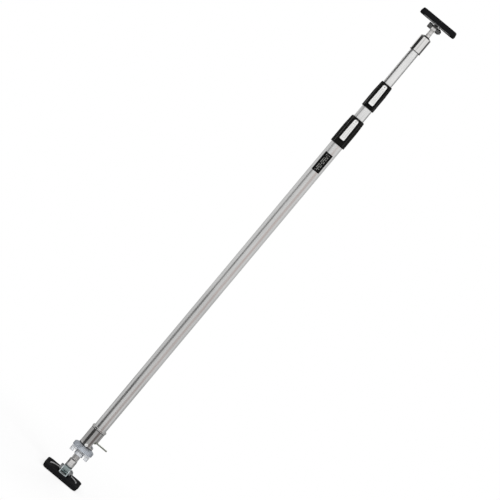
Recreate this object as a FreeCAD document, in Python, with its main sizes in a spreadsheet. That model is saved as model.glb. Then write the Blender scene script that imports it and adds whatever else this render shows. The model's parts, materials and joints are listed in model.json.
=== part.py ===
import FreeCAD, Part
import os
import re
import Sketcher

# Telescopic ceiling support: a screw jack and a tilting foot at the bottom, three aluminium tubes held by two
# lever clamps, and a tilting pad at the top. Millimetres, +Z along the pole, the sole of the foot at z = 0.
# The clamp levers face -Y and the pivot bolts of both pads lie along X.

SIZES = {
    # Both pads
    "pad_side": 111.0,
    "pad_draft": 2.9,
    "pad_thickness": 13.7,
    "pad_corner_radius": 12.0,
    "pad_edge_round": 2.5,
    "sole_chamfer": 2.0,
    "dish_diameter": 89.0,
    "dish_floor_diameter": 72.0,
    "dish_depth": 5.0,
    # Both brackets and their screws
    "bracket_length": 46.0,
    "bracket_bend_round": 2.0,
    "bracket_corner_round": 4.0,
    "bracket_screw_spacing": 33.0,
    "bracket_screw_diameter": 5.0,
    "bracket_screw_head_diameter": 9.5,
    "bracket_screw_head_height": 2.6,
    "bracket_screw_grip": 5.0,
    "bracket_screw_clearance": 0.1,
    # Foot pivot
    "foot_ear_gap": 18.2,
    "foot_ear_thickness": 2.8,
    "foot_ear_width": 18.0,
    "foot_axis_rise": 12.3,
    "foot_bolt_diameter": 9.9,
    "foot_hex_across": 17.0,
    "foot_bolt_head_height": 6.4,
    "foot_nut_height": 8.4,
    # Head pivot
    "head_ear_gap": 17.4,
    "head_ear_thickness": 2.5,
    "head_ear_width": 16.0,
    "head_axis_drop": 16.1,
    "head_bolt_diameter": 7.9,
    "head_hex_across": 13.0,
    "head_bolt_head_height": 7.2,
    "head_nut_height": 8.0,
    "head_eye_diameter": 20.0,
    "head_eye_thickness": 12.4,
    "head_spacer_diameter": 14.0,
    # Fits of both pivots
    "pivot_clearance": 0.08,
    "ear_bolt_clearance": 0.15,
    "tongue_side_clearance": 0.3,
    "spacer_play": 0.05,
    "bolt_end_length": 1.6,
    # Spindle
    "tongue_width": 17.0,
    "spindle_end_diameter": 22.5,
    "spindle_end_rise": 10.5,
    "spindle_end_length": 23.5,
    "spindle_end_chamfer": 1.0,
    "spindle_socket_depth": 15.0,
    "screw_diameter": 20.0,
    "screw_length": 224.0,
    "screw_tip_chamfer": 2.0,
    "screw_fit": 0.05,
    "stop_diameter": 26.0,
    "stop_height": 4.0,
    "stop_below_tip": 6.0,
    # Adjusting nut
    "nut_rest_gap": 15.8,
    "nut_neck_diameter": 24.5,
    "nut_neck_length": 10.6,
    "nut_flange_diameter": 59.5,
    "nut_flange_height": 16.6,
    "nut_bevel_height": 6.5,
    "nut_bevel_inset": 4.0,
    "nut_rim_bevel": 1.2,
    "nut_cone_height": 4.0,
    "nut_shoulder_width": 2.65,
    "nut_hub_length": 8.2,
    "nut_hub_clearance": 0.25,
    "nut_groove_depth": 3.0,
    "nut_groove_width": 4.6,
    "nut_running_gap": 0.3,
    "nut_ear_inner": 16.5,
    "nut_ear_outer": 28.0,
    "nut_ear_width": 14.0,
    "nut_ear_drop": 10.6,
    "nut_ear_bevel": 3.0,
    # Base sleeve with its screws and window
    "sleeve_wall": 2.4,
    "sleeve_length": 58.3,
    "sleeve_bead_height": 6.5,
    "sleeve_bead_swell": 1.2,
    "sleeve_bead_round": 1.2,
    "sleeve_fit": 0.05,
    "window_rise": 6.1,
    "window_height": 18.7,
    "window_half_angle": 51.0,
    "sleeve_screw_rise": 4.5,
    "sleeve_screw_diameter": 4.0,
    "sleeve_screw_head_diameter": 8.7,
    "sleeve_screw_head_height": 2.6,
    "sleeve_screw_clearance": 0.1,
    # Lock ring and bar
    "lock_bar_diameter": 4.4,
    "lock_bar_reach": 51.0,
    "lock_bar_root": 12.0,
    "lock_bar_clearance": 0.4,
    "lock_bar_fit": 0.03,
    "lock_ring_lip": 2.0,
    "lock_ring_height": 13.0,
    "lock_ring_clearance": 0.25,
    "spindle_clearance": 0.3,
    # Spindle guide
    "guide_flange_height": 1.7,
    "guide_stem_length": 20.0,
    "bush_fit": 0.05,
    # Tubes
    "outer_tube_diameter": 35.0,
    "outer_tube_wall": 1.6,
    "outer_tube_length": 1014.7,
    "mid_tube_clearance": 0.8,
    "mid_tube_wall": 1.6,
    "mid_above_screw": 52.3,
    "mid_rest_gap": 34.6,
    "inner_tube_clearance": 0.6,
    "inner_tube_wall": 1.6,
    "inner_above_mid": 135.3,
    "inner_rest_gap": 107.9,
    "bush_running_gap": 0.1,
    "bush_flange_height": 6.0,
    "bush_stem_length": 18.0,
    # Label on the outer tube
    "label_height": 57.5,
    "label_width_angle": 77.0,
    "label_thickness": 0.3,
    "label_below_clamp": 29.8,
    # Both lever clamps
    "lower_housing_height": 84.2,
    "lower_housing_wall": 3.25,
    "lower_socket_depth": 48.1,
    "upper_housing_height": 78.5,
    "upper_housing_wall": 2.75,
    "upper_socket_depth": 44.1,
    "housing_straight_share": 0.62,
    "housing_taper": 1.5,
    "housing_edge_round": 2.0,
    "housing_bore_clearance": 0.2,
    "housing_fit": 0.05,
    "boss_cheek": 5.5,
    "boss_spread": 3.0,
    "boss_edge_round": 4.0,
    "boss_foot_rise": 8.0,
    "boss_top_bevel": 2.5,
    "lever_length": 63.0,
    "lever_width": 14.2,
    "lever_tip_width": 11.8,
    "lever_corner_round": 2.5,
    "lever_thickness": 4.8,
    "lever_barrel_radius": 6.3,
    "lever_top_border": 3.7,
    "lever_proud": 0.8,
    "lever_clearance": 0.6,
    "lever_channel_width": 7.6,
    "lever_channel_depth": 0.8,
    "lever_channel_end": 6.0,
    "lever_dimple_diameter": 2.6,
    "lever_dimple_depth": 1.2,
    "finger_gap": 5.0,
    "finger_gap_depth": 3.0,
    "pivot_standoff": 10.0,
    "cam_radius": 5.6,
    "cam_offset": 1.0,
    "cam_narrowing": 1.0,
    "pin_diameter": 4.0,
    "pin_end_inset": 0.4,
    "shoe_width": 10.0,
    "shoe_height": 13.0,
    "shoe_gap": 0.25,
    "shoe_side_clearance": 0.3,
    "clamp_rivet_rise": 12.0,
    "clamp_rivet_diameter": 4.0,
    "clamp_rivet_head_diameter": 7.5,
    "clamp_rivet_head_height": 1.4,
    "clamp_rivet_clearance": 0.1,
    # Head cap and stud
    "cap_wall": 2.75,
    "cap_length": 49.0,
    "cap_socket_depth": 40.0,
    "cap_cone_height": 4.6,
    "cap_cone_top_diameter": 15.0,
    "cap_fit": 0.05,
    "stud_diameter": 12.0,
    "stud_rise": 27.1,
    "stud_end_length": 1.5,
    "stud_nut_across": 17.0,
    "stud_nut_height": 8.0,
    "stud_fit": 0.05,
}

# Places and radii that follow from the sizes, from the sole upwards.
PLACES = {
    "foot_floor": "pad_thickness - dish_depth",
    "foot_axis": "foot_floor + foot_axis_rise",
    "foot_bracket_width": "foot_ear_gap + 2 * foot_ear_thickness",
    "spindle_end_bottom": "foot_axis + spindle_end_rise",
    "spindle_end_top": "spindle_end_bottom + spindle_end_length",
    "screw_bottom": "spindle_end_top - spindle_socket_depth",
    "screw_top": "screw_bottom + screw_length",
    "stop_top": "screw_top - stop_below_tip",
    "nut_bottom": "spindle_end_top + nut_rest_gap",
    "flange_bottom": "nut_bottom + nut_neck_length",
    "flange_top": "flange_bottom + nut_flange_height",
    "cone_top": "flange_top + nut_cone_height",
    "hub_top": "cone_top + nut_hub_length",
    "sleeve_inner_radius": "outer_tube_diameter / 2 + sleeve_fit",
    "sleeve_outer_radius": "sleeve_inner_radius + sleeve_wall",
    "hub_radius": "sleeve_inner_radius - nut_hub_clearance",
    "sleeve_bottom": "cone_top + nut_running_gap",
    "sleeve_top": "sleeve_bottom + sleeve_length",
    "sleeve_screw_place": "sleeve_bottom + sleeve_screw_rise",
    "window_bottom": "sleeve_bottom + window_rise",
    "window_top": "window_bottom + window_height",
    "bar_axis": "window_top - lock_bar_clearance - lock_bar_diameter / 2",
    "ring_bottom": "bar_axis - lock_bar_diameter / 2 - lock_ring_lip",
    "ring_top": "ring_bottom + lock_ring_height",
    "guide_bottom": "ring_top + nut_running_gap",
    "outer_tube_bottom": "guide_bottom + guide_flange_height",
    "outer_tube_top": "outer_tube_bottom + outer_tube_length",
    "outer_tube_radius": "outer_tube_diameter / 2",
    "outer_tube_bore": "outer_tube_radius - outer_tube_wall",
    "mid_tube_radius": "outer_tube_bore - mid_tube_clearance",
    "mid_tube_bore": "mid_tube_radius - mid_tube_wall",
    "inner_tube_radius": "mid_tube_bore - inner_tube_clearance",
    "inner_tube_bore": "inner_tube_radius - inner_tube_wall",
    "lower_bottom": "outer_tube_top - lower_socket_depth",
    "lower_top": "lower_bottom + lower_housing_height",
    "upper_bottom": "lower_top + mid_rest_gap",
    "upper_top": "upper_bottom + upper_housing_height",
    "mid_tube_top": "upper_bottom + upper_socket_depth",
    "mid_tube_bottom": "screw_top + mid_above_screw",
    "cap_bottom": "upper_top + inner_rest_gap",
    "cap_socket_top": "cap_bottom + cap_socket_depth",
    "cap_top": "cap_bottom + cap_length",
    "inner_tube_bottom": "mid_tube_bottom + inner_above_mid",
    "head_axis": "cap_top + stud_rise",
    "head_floor": "head_axis + head_axis_drop",
    "head_bracket_width": "head_ear_gap + 2 * head_ear_thickness",
    "head_sole": "head_floor + pad_thickness - dish_depth",
}

FULL_TURN = 360.0
# Cuts that leave a solid run past its face by this much.
OVERRUN = 2.0

doc = FreeCAD.newDocument("CeilingSupport")
sizes = doc.addObject("Spreadsheet::Sheet", "Sizes")
places = doc.addObject("Spreadsheet::Sheet", "Places")
sub_parts = []


def with_sheets(formula):
    """Puts the name of its sheet in front of each size and place in a formula."""
    def full_name(match):
        word = match.group(0)
        if word in SIZES:
            return "Sizes." + word
        if word in PLACES:
            return "Places." + word
        return word
    return re.sub(r"[a-z][a-z_]*", full_name, str(formula))


def fill_sheets():
    for row, (alias, number) in enumerate(SIZES.items(), start=1):
        sizes.set(f"A{row}", alias)
        sizes.set(f"B{row}", str(number))
        sizes.setAlias(f"B{row}", alias)
    doc.recompute()
    for row, (alias, formula) in enumerate(PLACES.items(), start=1):
        places.set(f"A{row}", alias)
        places.setAlias(f"B{row}", alias)
        places.set(f"B{row}", "=" + with_sheets(formula))
    doc.recompute()


def number(formula):
    """What a formula of sizes and places comes to."""
    return float(sizes.evalExpression(with_sheets(formula)))


def bind(target, name, formula):
    target.setExpression(name, with_sheets(formula))


def keep(target, label):
    """Makes an object one of the sub-parts."""
    target.Label = label
    sub_parts.append(target)
    return target


def new_body(label):
    return keep(doc.addObject("PartDesign::Body", label), label)


def new_sketch(body, plane_role, offset="0"):
    """A sketch on a plane of its body. The normals are +Z on XY, -Y on XZ and +X on YZ."""
    sketch = body.newObject("Sketcher::SketchObject", body.Name + "_sketch")
    plane = next(feature for feature in body.Origin.OriginFeatures if feature.Role == plane_role)
    sketch.AttachmentSupport = [(plane, "")]
    sketch.MapMode = "FlatFace"
    bind(sketch, "AttachmentOffset.Base.z", offset)
    return sketch


def pin_coordinate(sketch, kind, geometry, vertex, formula):
    """Holds one coordinate of a point at the distance that a formula gives."""
    distance = number(formula)
    if abs(distance) < 1e-9:
        axis = -2 if kind == "DistanceX" else -1
        sketch.addConstraint(Sketcher.Constraint("PointOnObject", geometry, vertex, axis))
    elif distance > 0:
        index = sketch.addConstraint(Sketcher.Constraint(kind, -1, 1, geometry, vertex, distance))
        bind(sketch, f"Constraints[{index}]", formula)
    else:
        index = sketch.addConstraint(Sketcher.Constraint(kind, geometry, vertex, -1, 1, -distance))
        bind(sketch, f"Constraints[{index}]", f"-({formula})")


def pin_point(sketch, geometry, vertex, point):
    pin_coordinate(sketch, "DistanceX", geometry, vertex, point[0])
    pin_coordinate(sketch, "DistanceY", geometry, vertex, point[1])


def draw_polygon(sketch, corners):
    spots = [FreeCAD.Vector(number(across), number(up), 0) for across, up in corners]
    first = sketch.GeometryCount
    count = len(spots)
    for index in range(count):
        sketch.addGeometry(Part.LineSegment(spots[index], spots[(index + 1) % count]), False)
    for index in range(count):
        following = first + (index + 1) % count
        sketch.addConstraint(Sketcher.Constraint("Coincident", first + index, 2, following, 1))
    for index, corner in enumerate(corners):
        pin_point(sketch, first + index, 1, corner)


def draw_rectangle(sketch, left, right, low, high):
    draw_polygon(sketch, [(left, low), (right, low), (right, high), (left, high)])


def draw_circle(sketch, centre, diameter):
    middle = FreeCAD.Vector(number(centre[0]), number(centre[1]), 0)
    circle = Part.Circle(middle, FreeCAD.Vector(0, 0, 1), number(diameter) / 2)
    geometry = sketch.addGeometry(circle, False)
    pin_point(sketch, geometry, 3, centre)
    index = sketch.addConstraint(Sketcher.Constraint("Diameter", geometry, number(diameter)))
    bind(sketch, f"Constraints[{index}]", diameter)


def extrude(body, kind, sketch, length, symmetric=False, reverse=False):
    """A Pad or a Pocket of a sketch. A Pocket runs against the sketch's normal unless it is reversed."""
    feature = body.newObject("PartDesign::" + kind, body.Name + "_" + kind.lower())
    feature.Profile = sketch
    feature.SideType = "Symmetric" if symmetric else "One side"
    feature.Reversed = reverse
    bind(feature, "Length", length)
    doc.recompute()
    return feature


def pad(body, sketch, length, **options):
    return extrude(body, "Pad", sketch, length, **options)


def pocket(body, sketch, length, **options):
    before = body.Shape.Volume
    feature = extrude(body, "Pocket", sketch, length, **options)
    if body.Shape.Volume >= before:
        raise RuntimeError("nothing was cut by " + feature.Name)
    return feature


def revolve(body, kind, profile, plane_role="XZ_Plane", angle=FULL_TURN):
    """A Revolution or a Groove about Z of corners given as radius and height."""
    sketch = new_sketch(body, plane_role)
    draw_polygon(sketch, profile)
    feature = body.newObject("PartDesign::" + kind, body.Name + "_" + kind.lower())
    feature.Profile = sketch
    feature.ReferenceAxis = (sketch, ["V_Axis"])
    feature.Midplane = True
    bind(feature, "Angle", angle)
    doc.recompute()
    return feature


def turned(label, profile):
    body = new_body(label)
    revolve(body, "Revolution", profile)
    return body


def edges_where(body, test):
    edges = enumerate(body.Shape.Edges, start=1)
    return [f"Edge{index}" for index, edge in edges if test(edge)]


def dress(body, kind, test, size_name, size_formula):
    """A Fillet or Chamfer on the edges of a body that pass a test."""
    base = body.Tip
    names = edges_where(body, test)
    if not names:
        raise RuntimeError("no edges to dress on " + body.Name)
    feature = body.newObject("PartDesign::" + kind, body.Name + "_" + kind.lower())
    feature.Base = (base, names)
    bind(feature, size_name, size_formula)
    doc.recompute()
    return feature


def round_edges(body, test, radius):
    return dress(body, "Fillet", test, "Radius", radius)


def bevel_edges(body, test, size):
    return dress(body, "Chamfer", test, "Size", size)


def same(first, second):
    return abs(first - second) < 1e-4


def lies_at_height(edge, height):
    box = edge.BoundBox
    return same(box.ZMin, height) and same(box.ZMax, height)


def is_upright(edge):
    box = edge.BoundBox
    return same(box.XLength, 0) and same(box.YLength, 0)


def primitive(kind, name, places_by_axis, turn=None, **dimensions):
    """A Part primitive whose dimensions and place are bound to the sheets."""
    solid = doc.addObject("Part::" + kind, name)
    for dimension, formula in dimensions.items():
        bind(solid, dimension, formula)
    if turn is not None:
        solid.Placement = FreeCAD.Placement(FreeCAD.Vector(), turn)
    for axis, formula in zip("xyz", places_by_axis):
        bind(solid, "Placement.Base." + axis, formula)
    return solid


def boolean(kind, name, base, tool):
    result = doc.addObject("Part::" + kind, name)
    result.Base = base
    result.Tool = tool
    return result


def group(label, solids):
    """Identical loose pieces that share one node."""
    compound = doc.addObject("Part::Compound", label)
    compound.Links = solids
    return keep(compound, label)


ALONG_X = FreeCAD.Rotation(FreeCAD.Vector(0, 1, 0), 90)
ALONG_BACK = FreeCAD.Rotation(FreeCAD.Vector(1, 0, 0), -90)
ALONG_FRONT = FreeCAD.Rotation(FreeCAD.Vector(1, 0, 0), 90)


# Pads

def slope_sides(body, foot_height, side_of_foot, angle):
    """Leans the upright faces of a block outwards, away from its flat face at one height. side_of_foot is +1
    where the block lies above that face and -1 where it lies below."""
    base = body.Tip
    sides = []
    foot_faces = []
    for index, face in enumerate(base.Shape.Faces, start=1):
        box = face.BoundBox
        if not same(box.ZLength, 0):
            sides.append(f"Face{index}")
        elif same(box.ZMin, foot_height):
            foot_faces.append(f"Face{index}")
    draft = body.newObject("PartDesign::Draft", body.Name + "_draft")
    draft.Base = (base, sides)
    draft.NeutralPlane = (base, foot_faces)
    draft.Reversed = side_of_foot > 0
    bind(draft, "Angle", angle)
    doc.recompute()


def make_pad(label, sole, side_of_sole):
    """A square rubber pad with sloping sides, widest round its dish. side_of_sole is +1 where the dish is
    above the sole and -1 where it is below."""
    half_sole = "(pad_side / 2 - pad_draft)"
    dish_face = f"{sole} + {side_of_sole} * pad_thickness"
    floor = f"{sole} + {side_of_sole} * (pad_thickness - dish_depth)"
    body = new_body(label)
    plan = new_sketch(body, "XY_Plane", sole)
    draw_rectangle(plan, "-" + half_sole, half_sole, "-" + half_sole, half_sole)
    pad(body, plan, "pad_thickness", reverse=side_of_sole < 0)
    round_edges(body, is_upright, "pad_corner_radius")
    rim_height = number(dish_face)
    sole_height = number(sole)
    slope_sides(body, sole_height, side_of_sole, "atan(pad_draft / pad_thickness)")
    round_edges(body, lambda edge: lies_at_height(edge, rim_height), "pad_edge_round")
    bevel_edges(body, lambda edge: lies_at_height(edge, sole_height), "sole_chamfer")
    revolve(body, "Groove", [
        ("0", dish_face),
        ("dish_diameter / 2", dish_face),
        ("dish_floor_diameter / 2", floor),
        ("0", floor),
    ])
    screw_holes = new_sketch(body, "XY_Plane", floor)
    for side in (-1, 1):
        centre = ("0", f"{side} * bracket_screw_spacing / 2")
        draw_circle(screw_holes, centre, "bracket_screw_diameter + 2 * bracket_screw_clearance")
    pocket(body, screw_holes, "bracket_screw_grip", reverse=side_of_sole < 0)
    return body


def make_bracket(label, floor, axis, pivot, side_of_floor):
    """A U-bracket of bent plate on the floor of a dish, with its two ears round the pivot bolt."""
    width = f"{pivot}_bracket_width"
    thickness = f"{pivot}_ear_thickness"
    ear_width = f"{pivot}_ear_width"
    body = new_body(label)
    ears = new_sketch(body, "YZ_Plane")
    draw_rectangle(ears, f"-{ear_width} / 2", f"{ear_width} / 2", floor, axis)
    pad(body, ears, width, symmetric=True)
    ear_ends = new_sketch(body, "YZ_Plane")
    draw_circle(ear_ends, ("0", axis), ear_width)
    pad(body, ear_ends, width, symmetric=True)
    plate = new_sketch(body, "XY_Plane", floor)
    draw_rectangle(plate, f"-{width} / 2", f"{width} / 2", "-bracket_length / 2", "bracket_length / 2")
    pad(body, plate, thickness, reverse=side_of_floor < 0)
    plate_end = number("bracket_length / 2")
    half_width = number(f"{width} / 2")
    floor_height = number(floor)
    round_edges(
        body,
        lambda edge: is_upright(edge) and same(abs(edge.BoundBox.YMin), plate_end),
        "bracket_corner_round",
    )
    round_edges(
        body,
        lambda edge: lies_at_height(edge, floor_height) and same(abs(edge.BoundBox.XMin), half_width)
        and same(edge.BoundBox.XLength, 0),
        "bracket_bend_round",
    )
    between = new_sketch(body, "XZ_Plane")
    gap = f"{pivot}_ear_gap"
    plate_face = f"{floor} + {side_of_floor} * {thickness}"
    past_ears = f"{axis} + {side_of_floor} * ({ear_width} / 2 + {OVERRUN})"
    draw_rectangle(between, f"-{gap} / 2", f"{gap} / 2", plate_face, past_ears)
    pocket(body, between, "2 * bracket_length", symmetric=True)
    bolt_hole = new_sketch(body, "YZ_Plane")
    draw_circle(bolt_hole, ("0", axis), f"{pivot}_bolt_diameter + 2 * ear_bolt_clearance")
    pocket(body, bolt_hole, f"{width} + {OVERRUN}", symmetric=True)
    screw_holes = new_sketch(body, "XY_Plane", floor)
    for side in (-1, 1):
        centre = ("0", f"{side} * bracket_screw_spacing / 2")
        draw_circle(screw_holes, centre, "bracket_screw_diameter + 2 * bracket_screw_clearance")
    pocket(body, screw_holes, f"4 * {thickness}", symmetric=True)
    return body


def make_bracket_screws(label, floor, pivot, side_of_floor):
    """Two pan-head screws that hold a bracket in its dish."""
    thickness = f"{pivot}_ear_thickness"
    screws = []
    for side in (-1, 1):
        across = f"{side} * bracket_screw_spacing / 2"
        if side_of_floor > 0:
            shank_base = f"{floor} - bracket_screw_grip"
            head_base = f"{floor} + {thickness}"
        else:
            shank_base = f"{floor} - {thickness}"
            head_base = f"{floor} - {thickness} - bracket_screw_head_height"
        shank = primitive(
            "Cylinder", label + "_shank", ("0", across, shank_base),
            Radius="bracket_screw_diameter / 2",
            Height=f"bracket_screw_grip + {thickness}",
        )
        head = primitive(
            "Cylinder", label + "_head", ("0", across, head_base),
            Radius="bracket_screw_head_diameter / 2",
            Height="bracket_screw_head_height",
        )
        screws.append(boolean("Fuse", label + "_screw", shank, head))
    return group(label, screws)


def hexagon(name, pivot, left, axis, length):
    """A hexagonal prism along X, for the head or the nut of a pivot bolt."""
    return primitive(
        "Prism", name, (left, "0", axis), turn=ALONG_X,
        Circumradius=f"{pivot}_hex_across / sqrt(3)",
        Height=length,
    )


def make_pivot_bolt(pivot, axis):
    half_width = f"{pivot}_bracket_width / 2"
    head_height = f"{pivot}_bolt_head_height"
    nut_height = f"{pivot}_nut_height"
    head = hexagon(pivot + "_bolt_hex", pivot, f"-{half_width} - {head_height}", axis, head_height)
    shank = primitive(
        "Cylinder", pivot + "_bolt_shank", (f"-{half_width}", "0", axis), turn=ALONG_X,
        Radius=f"{pivot}_bolt_diameter / 2",
        Height=f"2 * {half_width} + {nut_height} + bolt_end_length",
    )
    keep(boolean("Fuse", pivot + "_bolt", head, shank), pivot + "_bolt")
    outside = hexagon(pivot + "_nut_hex", pivot, half_width, axis, nut_height)
    thread = primitive(
        "Cylinder", pivot + "_nut_thread", (half_width, "0", axis), turn=ALONG_X,
        Radius=f"{pivot}_bolt_diameter / 2 + screw_fit",
        Height=nut_height,
    )
    keep(boolean("Cut", pivot + "_nut", outside, thread), pivot + "_nut")


# Jack

def make_spindle_end():
    """The plain thick end of the spindle, with a tongue on the pivot bolt and a socket for the screw."""
    body = new_body("spindle_end")
    barrel = new_sketch(body, "XY_Plane", "spindle_end_bottom")
    draw_circle(barrel, ("0", "0"), "spindle_end_diameter")
    pad(body, barrel, "spindle_end_length")
    rim_height = number("spindle_end_top")
    bevel_edges(body, lambda edge: lies_at_height(edge, rim_height), "spindle_end_chamfer")
    tongue_thickness = "foot_ear_gap - 2 * tongue_side_clearance"
    tongue = new_sketch(body, "YZ_Plane")
    draw_rectangle(tongue, "-tongue_width / 2", "tongue_width / 2", "foot_axis", "spindle_end_bottom")
    pad(body, tongue, tongue_thickness, symmetric=True)
    tongue_end = new_sketch(body, "YZ_Plane")
    draw_circle(tongue_end, ("0", "foot_axis"), "tongue_width")
    pad(body, tongue_end, tongue_thickness, symmetric=True)
    eye = new_sketch(body, "YZ_Plane")
    draw_circle(eye, ("0", "foot_axis"), "foot_bolt_diameter + 2 * pivot_clearance")
    pocket(body, eye, f"foot_ear_gap + {OVERRUN}", symmetric=True)
    socket = new_sketch(body, "XY_Plane", "spindle_end_top")
    draw_circle(socket, ("0", "0"), "screw_diameter + 2 * screw_fit")
    pocket(body, socket, "spindle_socket_depth")


def make_spindle():
    make_spindle_end()
    turned("spindle_screw", [
        ("0", "screw_bottom"),
        ("screw_diameter / 2", "screw_bottom"),
        ("screw_diameter / 2", "screw_top - screw_tip_chamfer"),
        ("screw_diameter / 2 - screw_tip_chamfer", "screw_top"),
        ("0", "screw_top"),
    ])
    turned("spindle_stop", [
        ("screw_diameter / 2 + screw_fit", "stop_top - stop_height"),
        ("stop_diameter / 2", "stop_top - stop_height"),
        ("stop_diameter / 2", "stop_top"),
        ("screw_diameter / 2 + screw_fit", "stop_top"),
    ])


def make_adjusting_nut():
    """A cast hand nut: neck, bevelled flange, cone below the sleeve, grooved hub and two hanging ears."""
    bore = "screw_diameter / 2 + screw_fit"
    flange = "nut_flange_diameter / 2"
    shoulder = "hub_radius + nut_shoulder_width"
    groove_floor = "hub_radius - nut_groove_depth"
    groove_bottom = "sleeve_screw_place - nut_groove_width / 2"
    groove_top = "sleeve_screw_place + nut_groove_width / 2"
    body = turned("adjusting_nut", [
        (bore, "nut_bottom"),
        ("nut_neck_diameter / 2", "nut_bottom"),
        ("nut_neck_diameter / 2", "flange_bottom"),
        (f"{flange} - nut_bevel_inset", "flange_bottom"),
        (flange, "flange_bottom + nut_bevel_height"),
        (flange, "flange_top - nut_rim_bevel"),
        (f"{flange} - nut_rim_bevel", "flange_top"),
        (shoulder, "cone_top"),
        ("hub_radius", "cone_top"),
        ("hub_radius", groove_bottom),
        (groove_floor, groove_bottom),
        (groove_floor, groove_top),
        ("hub_radius", groove_top),
        ("hub_radius", "hub_top"),
        (bore, "hub_top"),
    ])
    ears = new_sketch(body, "XY_Plane", "flange_bottom - nut_ear_drop")
    for side in (-1, 1):
        inner = f"{side} * nut_ear_inner"
        outer = f"{side} * nut_ear_outer"
        cut_off = f"{side} * (nut_ear_outer - nut_ear_bevel)"
        draw_polygon(ears, [
            (inner, "-nut_ear_width / 2"),
            (cut_off, "-nut_ear_width / 2"),
            (outer, "nut_ear_bevel - nut_ear_width / 2"),
            (outer, "nut_ear_width / 2 - nut_ear_bevel"),
            (cut_off, "nut_ear_width / 2"),
            (inner, "nut_ear_width / 2"),
        ])
    pad(body, ears, "nut_ear_drop + nut_bevel_height")


def make_sleeve():
    """The chromed base sleeve with a rolled rim, a window on its +X side and two screws that hold the nut."""
    body = turned("base_sleeve", [
        ("sleeve_inner_radius", "sleeve_bottom"),
        ("sleeve_outer_radius", "sleeve_bottom"),
        ("sleeve_outer_radius", "sleeve_top - sleeve_bead_height"),
        ("sleeve_outer_radius + sleeve_bead_swell", "sleeve_top - sleeve_bead_height + sleeve_bead_round"),
        ("sleeve_outer_radius + sleeve_bead_swell", "sleeve_top - sleeve_bead_round"),
        ("sleeve_outer_radius", "sleeve_top"),
        ("sleeve_inner_radius", "sleeve_top"),
    ])
    window = new_sketch(body, "XZ_Plane")
    window_edge = "sleeve_outer_radius * cos(window_half_angle * 1deg)"
    draw_rectangle(window, window_edge, "2 * sleeve_outer_radius", "window_bottom", "window_top")
    pocket(body, window, "4 * sleeve_outer_radius", symmetric=True)
    screw_holes = new_sketch(body, "XZ_Plane")
    hole_diameter = "sleeve_screw_diameter + 2 * sleeve_screw_clearance"
    draw_circle(screw_holes, ("0", "sleeve_screw_place"), hole_diameter)
    pocket(body, screw_holes, "4 * sleeve_outer_radius", symmetric=True)

    tip_radius = "hub_radius - nut_groove_depth + nut_running_gap"
    screws = []
    for side, turn in ((-1, ALONG_FRONT), (1, ALONG_BACK)):
        tip = f"{side} * ({tip_radius})"
        seat = f"{side} * sleeve_outer_radius"
        shank = primitive(
            "Cylinder", "sleeve_screw_shank", ("0", tip, "sleeve_screw_place"), turn=turn,
            Radius="sleeve_screw_diameter / 2",
            Height=f"sleeve_outer_radius - ({tip_radius})",
        )
        head = primitive(
            "Cylinder", "sleeve_screw_head", ("0", seat, "sleeve_screw_place"), turn=turn,
            Radius="sleeve_screw_head_diameter / 2",
            Height="sleeve_screw_head_height",
        )
        screws.append(boolean("Fuse", "sleeve_screw", shank, head))
    group("sleeve_screws", screws)


def make_lock():
    """The lock ring round the spindle and the bar that reaches out of the sleeve's window."""
    ring_radius = "sleeve_inner_radius - lock_ring_clearance"
    bore = "screw_diameter / 2 + spindle_clearance"
    ring = turned("lock_ring", [
        (bore, "ring_bottom"),
        (ring_radius, "ring_bottom"),
        (ring_radius, "ring_top"),
        (bore, "ring_top"),
    ])
    bar_hole = new_sketch(ring, "YZ_Plane", "lock_bar_root")
    draw_circle(bar_hole, ("0", "bar_axis"), "lock_bar_diameter + 2 * lock_bar_fit")
    pocket(ring, bar_hole, ring_radius, reverse=True)
    bar = new_body("lock_bar")
    section = new_sketch(bar, "YZ_Plane", "lock_bar_root")
    draw_circle(section, ("0", "bar_axis"), "lock_bar_diameter")
    pad(bar, section, "lock_bar_reach - lock_bar_root")
    tip = number("lock_bar_reach")
    round_edges(bar, lambda edge: same(edge.BoundBox.XMin, tip), "lock_bar_diameter / 5")


def make_flanged_bush(label, bottom, flange_radius, flange_height, stem_radius, stem_length, bore):
    """A bush with a flange at the bottom and a stem above it."""
    turned(label, [
        (bore, bottom),
        (flange_radius, bottom),
        (flange_radius, f"{bottom} + {flange_height}"),
        (stem_radius, f"{bottom} + {flange_height}"),
        (stem_radius, f"{bottom} + {flange_height} + {stem_length}"),
        (bore, f"{bottom} + {flange_height} + {stem_length}"),
    ])


# Tubes

def make_tube(name, top, rivet_height=None):
    """A drawn tube, with the hole for its clamp's rivet at the back where it carries a clamp."""
    radius = f"{name}_tube_radius"
    bottom = f"{name}_tube_bottom"
    body = new_body(name + "_tube")
    section = new_sketch(body, "XY_Plane", bottom)
    draw_circle(section, ("0", "0"), f"2 * {radius}")
    draw_circle(section, ("0", "0"), f"2 * {name}_tube_bore")
    pad(body, section, f"{top} - {bottom}")
    if rivet_height is not None:
        cut_rivet_hole(body, rivet_height, radius)


def cut_rivet_hole(body, rivet_height, radius):
    hole = new_sketch(body, "XZ_Plane")
    draw_circle(hole, ("0", rivet_height), "clamp_rivet_diameter + 2 * clamp_rivet_clearance")
    pocket(body, hole, f"2 * {radius}")


def make_label():
    """A bare black label wrapped on the front of the outer tube."""
    top = "lower_bottom - label_below_clamp"
    body = new_body("label_plate")
    revolve(body, "Revolution", [
        ("-outer_tube_radius", f"{top} - label_height"),
        ("-outer_tube_radius - label_thickness", f"{top} - label_height"),
        ("-outer_tube_radius - label_thickness", top),
        ("-outer_tube_radius", top),
    ], plane_role="YZ_Plane", angle="label_width_angle")


# Clamps

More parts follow.
